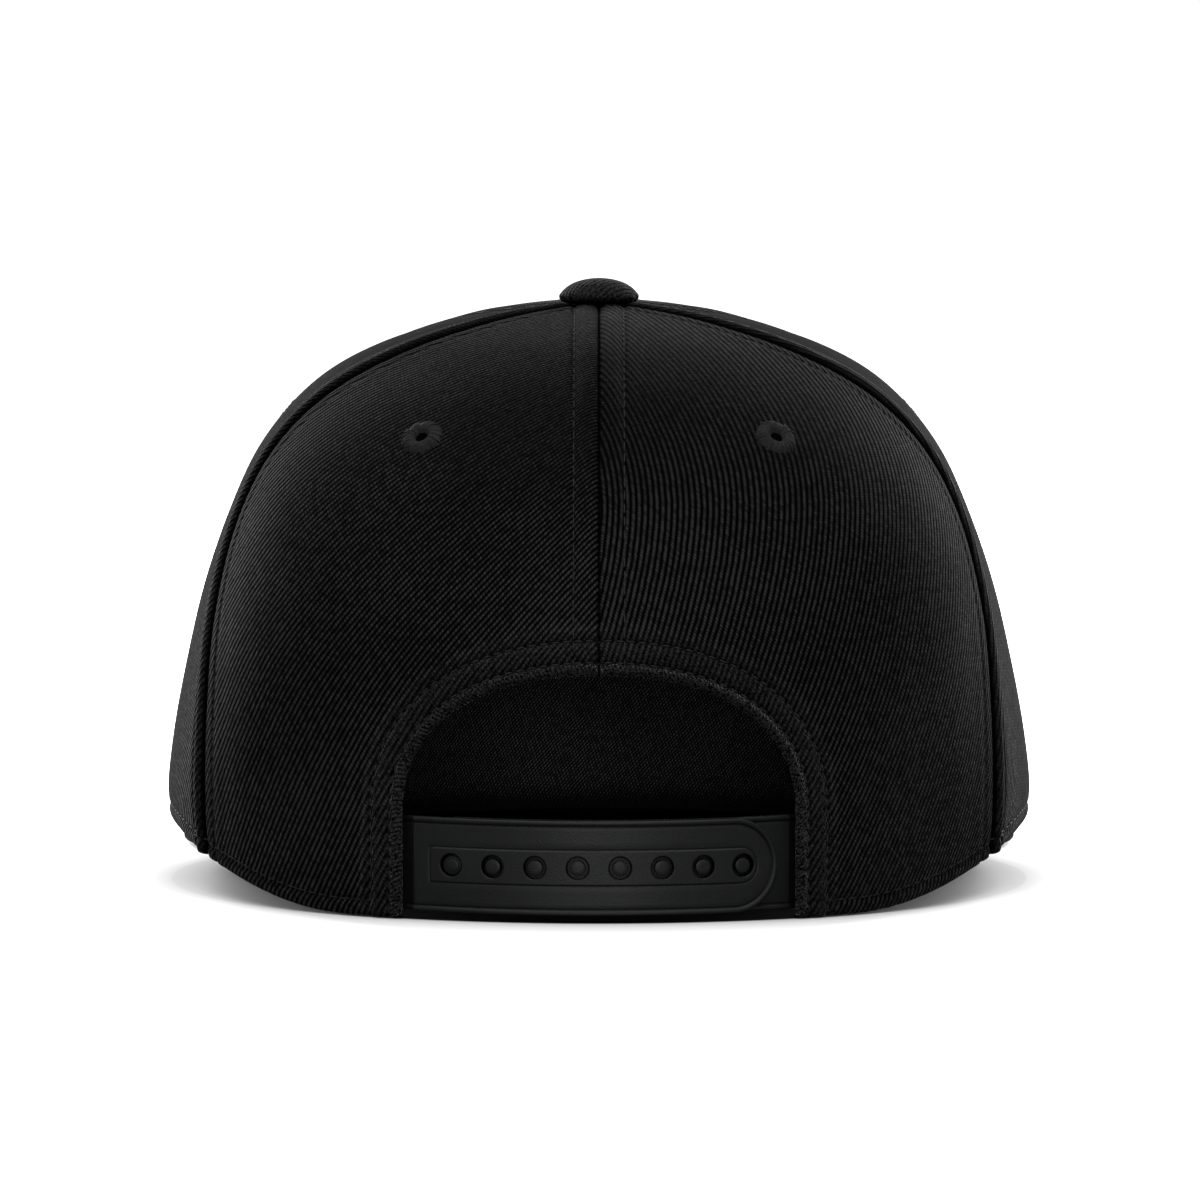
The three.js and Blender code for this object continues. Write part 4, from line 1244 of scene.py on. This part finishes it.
def band_point(angle, height, depth):
    """A point of the band at a height over the hem and a depth behind it, leaning in with the crown."""
    plan = hem_inset(angle, depth)
    lean = crown_point(angle, band_height / crown_height * np.clip(height / band_height, 0, 1))
    foot = crown_point(angle, 0.0)
    inward = np.minimum(0, np.hypot(lean[..., 0], lean[..., 1]) - np.hypot(foot[..., 0], foot[..., 1]))
    radius = np.hypot(plan[..., 0], plan[..., 1])
    scale = (radius + inward) / radius
    z = hem_height(angle) + fit_gap + height
    return np.stack([plan[..., 0] * scale, plan[..., 1] * scale, z], -1)


band_start = float(angle_at_length(arch_width / 2)) + math.radians(5)
tail_end = math.degrees(angle_at_length(arch_width / 2 + strap_tail))
strap_room = back_wall + 3 * fit_gap + outer_strap_wall + inner_strap_wall


def band_depth(angle):
    turn = np.minimum(np.degrees(angle), 360 - np.degrees(angle))
    beside_tail = 1 - eased((turn - tail_end - 1) / 16)
    return front_wall + fit_gap + (strap_room - front_wall - fit_gap) * beside_tail


band_angles = np.linspace(band_start, 2 * math.pi - band_start, 361)[None, :]
band_rows = np.concatenate([
    np.linspace(0, 2.4, 7), np.linspace(3, 27.6, 14), np.linspace(28, band_height, 11)])[:, None]
from_top = band_height - band_rows
at_front = np.cos(band_angles) < 0
centre_seam = np.where(at_front, np.abs(hem_plan(band_angles)[..., 0]), 99)
ease_end = eased(np.minimum(band_angles - band_start, 2 * math.pi - band_start - band_angles) / 0.03)
ripples = np.sin(band_angles * 31 + 0.6 * np.sin(band_angles * 5)) * np.sin(band_rows / 9) * ease_end
band_relief = rolled(from_top, 0.7, 0.6) + groove(from_top, band_fold, 0.22, 0.4)
band_relief = band_relief + puff(from_top, 0, band_fold, 0.12) + groove(centre_seam, 0, 0.35, 0.5)
band_relief = band_relief + 0.08 * ripples
depth = band_depth(band_angles)
shown = band_point(band_angles, band_rows, depth + band_wall + np.clip(band_relief, -1, 0.15))
hidden = band_point(band_angles, band_rows, depth + 0.05 - rolled(from_top, 0.7, 0.6))
band_drop = 2 * fit_gap + 0.2
band_length = np.interp(np.minimum(band_angles, 2 * math.pi - band_angles), fine_angles, fine_lengths)
band_length = np.where(band_angles < math.pi, band_length, 2 * fine_lengths[-1] - band_length)
band_map = np.stack(np.broadcast_arrays(band_length, band_rows), -1) / 1000
band_shade = np.broadcast_to(0.9 * (1 - eased((band_rows - 1) / 5)), band_relief.shape)
band = add_slab("sweatband_cloth", seated(shown, band_drop), seated(hidden, band_drop), band_map,
                {"painted_shade": band_shade})
finish_piece(band, "sweatband", band_material, "sweatband")
print("sweatband:", len(band.data.polygons), "faces")
row_angles = band_angles[0, 2:-2]
line = band_point(row_angles, band_height - band_fold, band_depth(row_angles) + band_wall - 0.12)
inwards = -np.stack([np.sin(row_angles), np.cos(row_angles), np.zeros(len(row_angles))], -1)
sew("sweatband_stitches", [(line, inwards)])

# %% [markdown]
# The snap strap is moulded plastic: a raised rim, a sunk field, and a row of holes with bevelled
# mouths. It is drawn flat as a pattern of outlines, filled with triangles, given its relief from the
# distance to each outline, and then bent round the back of the cap.

# %% Flat outlines of the strap
strap_height, strap_lift, strap_tip_reach = 18.5, 1.45, 36.9
snap_count, snap_pitch, snap_bend = 8, 8.52, 0.035  # the bend closes the snaps up towards the tip
half_strap = strap_height / 2
strap_end = arch_width / 2 + strap_tail
strap_middle = strap_lift + half_strap
rim_width = 1.0
field_half, field_start, field_end = 3.3, -34.7, 32.3


def capsule(start, end, half, steps):
    """A flat outline from a square start to a half-round end."""
    turns = np.linspace(-math.pi / 2, math.pi / 2, steps)
    points = [(end - half + half * math.cos(a), half * math.sin(a)) for a in turns]
    return np.array(points + [(start, half), (start, -half)])


def divided(outline, step):
    """A closed outline with no stretch longer than a step."""
    result = []
    for a, b in zip(outline, np.roll(outline, -1, axis=0)):
        count = max(1, int(math.ceil(np.linalg.norm(b - a) / step)))
        result += [a + (b - a) * k / count for k in range(count)]
    return np.array(result)


def circle(centre, radius, steps=36):
    turns = np.linspace(0, 2 * math.pi, steps, endpoint=False)
    return np.stack([centre + radius * np.cos(turns), radius * np.sin(turns)], -1)


def inside_capsule(points, start, end, half):
    """Distance inside a capsule's outline, negative outside it."""
    x, y = points[:, 0], points[:, 1]
    depth = np.minimum(half - np.abs(y), x - start)
    return np.where(x > end - half, half - np.hypot(x - end + half, y), depth)


# %% Fill the flat pattern and bend it
fill_step = 1.1  # grid of points between the outlines


def fill_pattern(outlines, inside):
    """Triangles of a flat pattern: every outline is kept as an edge, and holes are left open."""
    points, edges = [], []
    for outline in outlines:
        first = len(points)
        points += outline.tolist()
        edges += [(first + k, first + (k + 1) % len(outline)) for k in range(len(outline))]
    lines = np.array(points)
    low, high = lines.min(0), lines.max(0)
    gx, gy = np.meshgrid(np.arange(low[0], high[0], fill_step), np.arange(low[1], high[1], fill_step))
    grid = np.stack([gx.ravel(), gy.ravel()], -1)
    nearest = np.array([np.hypot(*(lines - spot).T).min() for spot in grid])
    grid = grid[(nearest > fill_step * 0.45) & inside(grid)]
    points += grid.tolist()
    verts, _, tris, _, _, _ = delaunay_2d_cdt([Vector(p) for p in points], edges, [], 0, 1e-5)
    verts = np.array([(v.x, v.y) for v in verts])
    tris = np.array(tris)
    return verts, tris[inside(verts[tris].mean(1))]


def border_edges(tris):
    seen = {(tri[k], tri[k - 2]): True for tri in tris for k in range(3)}
    return [(a, b) for a, b in seen if (b, a) not in seen]


def strap_sag(length):
    """The fastened strap hangs a little lower in the middle of the opening."""
    return -0.25 * (1 - np.clip(np.abs(length) / (arch_width / 2), 0, 1) ** 2)


def bent(points, depth, sign):
    """From the flat strap to the cap: length along the hem's line and height, at a depth behind it."""
    plan = hem_inset(angle_at_length(points[:, 0] * sign), depth)
    return np.column_stack([plan, strap_middle + strap_sag(points[:, 0]) + points[:, 1]])


def length_at_side(side, depth):
    """Length along the strap at which it is a given distance to the side of the middle."""
    lengths = np.linspace(0, 50, 501)
    return float(np.interp(side, hem_inset(angle_at_length(lengths), depth)[:, 0], lengths))


def strap_piece(name, end, depth, wall, sign, holes, relief, extra_outlines):
    """A strap from its sewn-in tail to its round tip, with two faces and its painted shade."""
    outer_line = divided(capsule(-strap_end, end, half_strap, 40), 1.2)
    insets = (0.12, 0.35) + tuple(rim_width + off for off in (-0.12, 0.02, 0.15, 0.3, 0.5))
    inner_lines = [divided(capsule(-strap_end + 0.4 * (k + 1), end - inset, half_strap - inset, 40), 1.2)
                   for k, inset in enumerate(insets)]

    def inside(points):
        good = inside_capsule(points, -strap_end, end, half_strap) > 1e-4
        for centre, radius in holes:
            good &= np.hypot(points[:, 0] - centre, points[:, 1]) > radius - 1e-3
        return good

    rings = [circle(centre, radius) for centre, radius in holes]
    verts, tris = fill_pattern([outer_line] + inner_lines + extra_outlines + rings, inside)
    raised, painted_shade = relief(verts)
    front = bent(verts, depth - raised, sign)
    back = bent(verts, np.full(len(verts), depth + wall), sign)
    count = len(verts)
    faces = [tuple(t) for t in tris] + [tuple(t[::-1] + count) for t in tris]
    faces += [(b, a, a + count, b + count) for a, b in border_edges(tris)]
    used, flat_ids = np.unique([i for f in faces for i in f], return_inverse=True)
    ids = iter(flat_ids.ravel().tolist())
    faces = [tuple(next(ids) for _ in f) for f in faces]
    strap = add_object(name, np.concatenate([front, back])[used], faces,
                       masks={"painted_shade": np.tile(painted_shade, 2)[used]})
    print(name, len(strap.data.polygons), "faces")
    return strap


def rim_relief(depth_inside):
    """The raised rim along the strap's edge, with a fine groove inside it and painted shade in that groove.
    """
    edge = -0.3 * (1 - np.sqrt(np.clip(1 - (1 - np.clip(depth_inside / 0.35, 0, 1)) ** 2, 0, 1)))
    rim = 0.26 * (1 - eased((depth_inside - rim_width + 0.12) / 0.24))
    painted_shade = 0.85 * np.exp(-(((depth_inside - rim_width - 0.15) / 0.13) ** 2))
    return edge + rim + groove(depth_inside, rim_width + 0.15, 0.28, 0.13), painted_shade


# %% The outer strap, with its eight bevelled holes
outer_depth = back_wall + fit_gap
inner_depth = outer_depth + outer_strap_wall + fit_gap
snap_steps = np.arange(snap_count) - (snap_count - 1) / 2
snap_places = snap_steps * snap_pitch - snap_bend * snap_steps**2
hole_mouth, hole_throat = 2.28, 2.16
flange_step, flange_drop = length_at_side(36.4, outer_depth), 0.95
inner_flange_step = length_at_side(37.5, inner_depth)


def flange(length, step):
    """The thin tail that is sewn into the cap, a step lower than the moulded face."""
    return -flange_drop * eased((-step - length + 0.12) / 0.24)


def step_lines(step):
    """Lines across the strap, so that its mesh has edges where the flange steps down."""
    reach = half_strap - 0.02
    return [np.array([[off - step, -reach], [off - step + 0.01, reach]]) for off in (-0.4, -0.13, 0.13, 0.4)]


def outer_relief(points):
    relief, painted_shade = rim_relief(inside_capsule(points, -99, strap_tip_reach, half_strap))
    field = inside_capsule(points, field_start, field_end, field_half)
    relief = relief + 0.14 * eased((field + 0.08) / 0.16) + groove(field, -0.2, 0.16, 0.12)
    # Painted shade in the groove round the field, in the holes and on the flange beside the arch's leg
    painted_shade = np.maximum(painted_shade, 0.6 * np.exp(-(((field + 0.2) / 0.12) ** 2)))
    for centre in snap_places:
        away = np.hypot(points[:, 0] - centre, points[:, 1])
        relief = relief - 0.45 * np.clip((hole_mouth - away) / (hole_mouth - hole_throat), 0, 1)
        painted_shade = np.maximum(painted_shade, away < hole_mouth + 0.02)
    tail = flange(points[:, 0], flange_step)
    return relief + tail, np.maximum(painted_shade, -0.8 * tail)


fields = [divided(capsule(field_start - off, field_end + off, field_half + off, 24), 1.0)
          for off in (-0.25, -0.1, 0.08, 0.2, 0.34, 0.5)]
mouths = [circle(centre, radius) for centre in snap_places for radius in (hole_mouth + 0.25, hole_mouth)]
throats = [(centre, hole_throat) for centre in snap_places]
outer_strap = strap_piece("strap_with_holes", strap_tip_reach, outer_depth, outer_strap_wall, -1, throats,
                          outer_relief, fields + mouths + step_lines(flange_step))
finish_piece(outer_strap, "strap", strap_material, "strap_outer")

# %% The inner strap and its pegs
inner_reach = (snap_count - 1) / 2 * snap_pitch + half_strap


def inner_relief(points):
    relief, painted_shade = rim_relief(inside_capsule(points, -99, inner_reach, half_strap))
    tail = flange(points[:, 0], inner_flange_step)
    # Painted shade round the pegs, seen through the holes, and on the flange
    for centre in snap_places:
        painted_shade = np.maximum(painted_shade, np.hypot(points[:, 0] + centre, points[:, 1]) < hole_mouth + 0.6)
    return relief - 0.26 + tail, np.maximum(painted_shade, -0.8 * tail)


seats = [circle(-centre, hole_mouth + 0.5) for centre in snap_places]
inner_strap = strap_piece("strap_with_pegs", inner_reach, inner_depth, inner_strap_wall, 1, [],
                          inner_relief, step_lines(inner_flange_step) + seats)

# %% The pegs
peg_tree, peg_in, peg_out = geometry_tree(
    "snap pegs", {"Peg radius": 0.00145, "Peg length": 0.0017, "Rounding": 0.00014})
t = peg_tree
post = add_node(t, "GeometryNodeMeshCylinder", {
    "Vertices": 28, "Side Segments": 2, "Fill Segments": 7, "Radius": peg_in["Peg radius"],
    "Depth": peg_in["Peg length"]})
x, y, z = add_node(t, "ShaderNodeSeparateXYZ", {0: add_node(t, "GeometryNodeInputPosition")}).outputs
flat = add_node(t, "ShaderNodeCombineXYZ", {0: x, 1: y})
reach = add_node(t, "ShaderNodeVectorMath", {0: flat}, operation="LENGTH").outputs["Value"]
share = calculate(t, "POWER", calculate(t, "DIVIDE", reach, peg_in["Peg radius"]), 4.0)
on_top = calculate(t, "GREATER_THAN", z, 0.0004)
drop = calculate(t, "MULTIPLY", calculate(t, "MULTIPLY", share, on_top),
                 calculate(t, "MULTIPLY", peg_in["Rounding"], -1.0))
fall = add_node(t, "ShaderNodeCombineXYZ", {2: drop})
domed = add_node(t, "GeometryNodeSetPosition", {"Geometry": post, "Offset": fall})
up = stored(t, "up", "FLOAT_VECTOR")
stand = add_node(t, "FunctionNodeAlignRotationToVector", {"Vector": up}, axis="Z")
girth = stored(t, "girth", "FLOAT")
thick = add_node(t, "ShaderNodeCombineXYZ", {0: girth, 1: girth, 2: 1.0})
stood = add_node(t, "GeometryNodeInstanceOnPoints", {
    "Points": peg_in[0], "Instance": domed, "Rotation": stand, "Scale": thick})
close_tree(t, peg_in, peg_out, stood)

# Length along the strap, depth of the top and girth. The last snap is a collar and a slim peg on it
peg_foot_depth, peg_length = inner_depth + 0.45, 1.7
peg_list = [(-place, outer_depth + 0.1, 1.0) for place in snap_places[1:]]
peg_list += [(-snap_places[0], outer_depth + 0.5, 1.25), (-snap_places[0] - 0.4, outer_depth - 0.05, 0.8)]
peg_lengths, peg_depths, girths = np.array(peg_list).T
peg_angles = angle_at_length(peg_lengths)
feet, tops = hem_inset(peg_angles, np.full(len(peg_list), peg_foot_depth)), hem_inset(peg_angles, peg_depths)
axes_out = np.column_stack([tops - feet, np.zeros(len(peg_list))])
axes_out /= np.linalg.norm(axes_out, axis=1)[:, None]
middles = np.column_stack([hem_inset(peg_angles, peg_depths + peg_length / 2),
                           strap_middle + strap_sag(peg_lengths)])
peg_points = bpy.data.meshes.new("peg_places")
peg_points.from_pydata(to_metres(middles).tolist(), [], [])
for label, kind, key, values in (
        ("up", "FLOAT_VECTOR", "vector", axes_out), ("girth", "FLOAT", "value", girths)):
    layer = peg_points.attributes.new(label, kind, "POINT")
    layer.data.foreach_set(key, values.astype(np.float32).ravel())
pegs = grow("pegs", peg_points, peg_tree, {"Peg length": peg_length / 1000}, strap_material)
pegs.data.shade_smooth()
pegs.data.set_sharp_from_angle(angle=math.radians(35))
inner_strap.data.materials.append(strap_material)
pair = {"object": inner_strap, "active_object": inner_strap, "selected_editable_objects": [inner_strap, pegs]}
with bpy.context.temp_override(**pair):
    bpy.ops.object.join()
finish_piece(inner_strap, "strap", strap_material, "strap_inner")
print("inner strap with", snap_count, "pegs:", len(inner_strap.data.polygons), "faces")

# %% [markdown]
# The studio is a white table under soft light: a big softbox overhead, two paler ones at the sides
# and a white room. Close to the cap the table keeps its contact shadow, and inside the hem between
# the arch's legs its colour is painted black, a painted shadow under the strap. Further out it glows
# to the camera only, growing to pure white, so that no horizon shows and no light is added to the cap.

# %% Floor and lights
bpy.ops.mesh.primitive_plane_add(size=40, location=(0, 0, -0.0002))
floor = bpy.context.object
floor.name = "studio_floor"
floor_material, t, shader = new_material("white studio floor", 0.9, 0.1)
shader["Emission Color"].default_value = (1, 1, 1, 1)
cap_outline = (11.36, 10.47, 1.0)  # one over the half sizes of the hem's ellipse, in metres
from_middle = add_node(t, "ShaderNodeVectorMath", {0: object_place(t), 1: (0, axis_y / 1000, 0)},
                       operation="SUBTRACT")
shares = add_node(t, "ShaderNodeVectorMath", {0: from_middle, 1: cap_outline}, operation="MULTIPLY")
from_cap = add_node(t, "ShaderNodeVectorMath", {0: shares}, operation="LENGTH").outputs["Value"]
seen = add_node(t, "ShaderNodeLightPath").outputs["Is Camera Ray"]
glow = calculate(t, "MULTIPLY", ramp(t, from_cap, 1.0, 1.5, 0.0, 1.1), seen)
aside = calculate(t, "ABSOLUTE", add_node(t, "ShaderNodeSeparateXYZ", {0: from_middle}).outputs[0])
# Inside the hem's outline and between the arch's legs the table's colour to the camera is painted black, a
# painted shadow under the strap
beside_arch, outside_hem = ramp(t, aside, 0.040, 0.052, 0.0, 0.78), ramp(t, from_cap, 0.98, 1.0, 0.0, 0.85)
white = calculate(t, "MAXIMUM", beside_arch, outside_hem)
t.links.new(mixed_colour(t, seen, (0.08, 0.08, 0.08), white), shader["Base Color"])
t.links.new(glow, shader["Emission Strength"])
floor.data.materials.append(floor_material)

world = bpy.data.worlds.new("white room")
world.use_nodes = True
bpy.context.scene.world = world
room = world.node_tree
backdrop = room.nodes["Background"]
backdrop.inputs["Color"].default_value = (1, 1, 1, 1)
seen = add_node(room, "ShaderNodeLightPath").outputs["Is Camera Ray"]
room.links.new(calculate(room, "MULTIPLY_ADD", seen, 0.9, 0.24), backdrop.inputs["Strength"])


def softbox(name, place, aim, size, power):
    light = bpy.data.lights.new(name, "AREA")
    light.shape, light.size, light.size_y, light.energy = "RECTANGLE", size[0], size[1], power
    lamp = bpy.data.objects.new(name, light)
    lamp.location = place
    lamp.rotation_euler = (Vector(aim) - Vector(place)).to_track_quat("-Z", "Y").to_euler()
    bpy.context.scene.collection.objects.link(lamp)


softbox("overhead_softbox", (0.0, 0.5, 1.4), (0, 0, 0.05), (1.8, 1.8), 19)
softbox("left_rim_softbox", (0.8, -1.35, 0.45), (0, 0, 0.06), (0.5, 1.2), 50)
softbox("right_rim_softbox", (-0.8, -1.35, 0.45), (0, 0, 0.06), (0.5, 1.2), 50)
softbox("fill_beside_camera", (0, 2.2, 0.2), (0, 0, 0.04), (0.5, 0.5), 9.5)

# %% [markdown]
# The photo was taken a little above the table from straight behind, from far enough away that the
# crown hardly tapers. The lens is set so that the cap fills the same part of the frame.

# %% Camera
camera_height, camera_distance, focal_pixels, frame_width = 160.0, 1600.0, 7790.0, 1200
camera_pitch, centre_shift = math.radians(3.679), 1.0
sensor_width = 36
camera_data = bpy.data.cameras.new("camera")
camera_data.sensor_fit, camera_data.sensor_width = "HORIZONTAL", sensor_width
camera_data.lens = focal_pixels / frame_width * sensor_width
camera_data.clip_end = 50
camera = bpy.data.objects.new("camera", camera_data)
camera.location = to_metres(np.array([0.0, camera_distance, camera_height]))
camera.rotation_euler = (math.pi / 2 - camera_pitch, 0, math.pi - centre_shift / focal_pixels)
bpy.context.scene.collection.objects.link(camera)
bpy.context.scene.camera = camera
bpy.context.scene.view_settings.view_transform = "Standard"
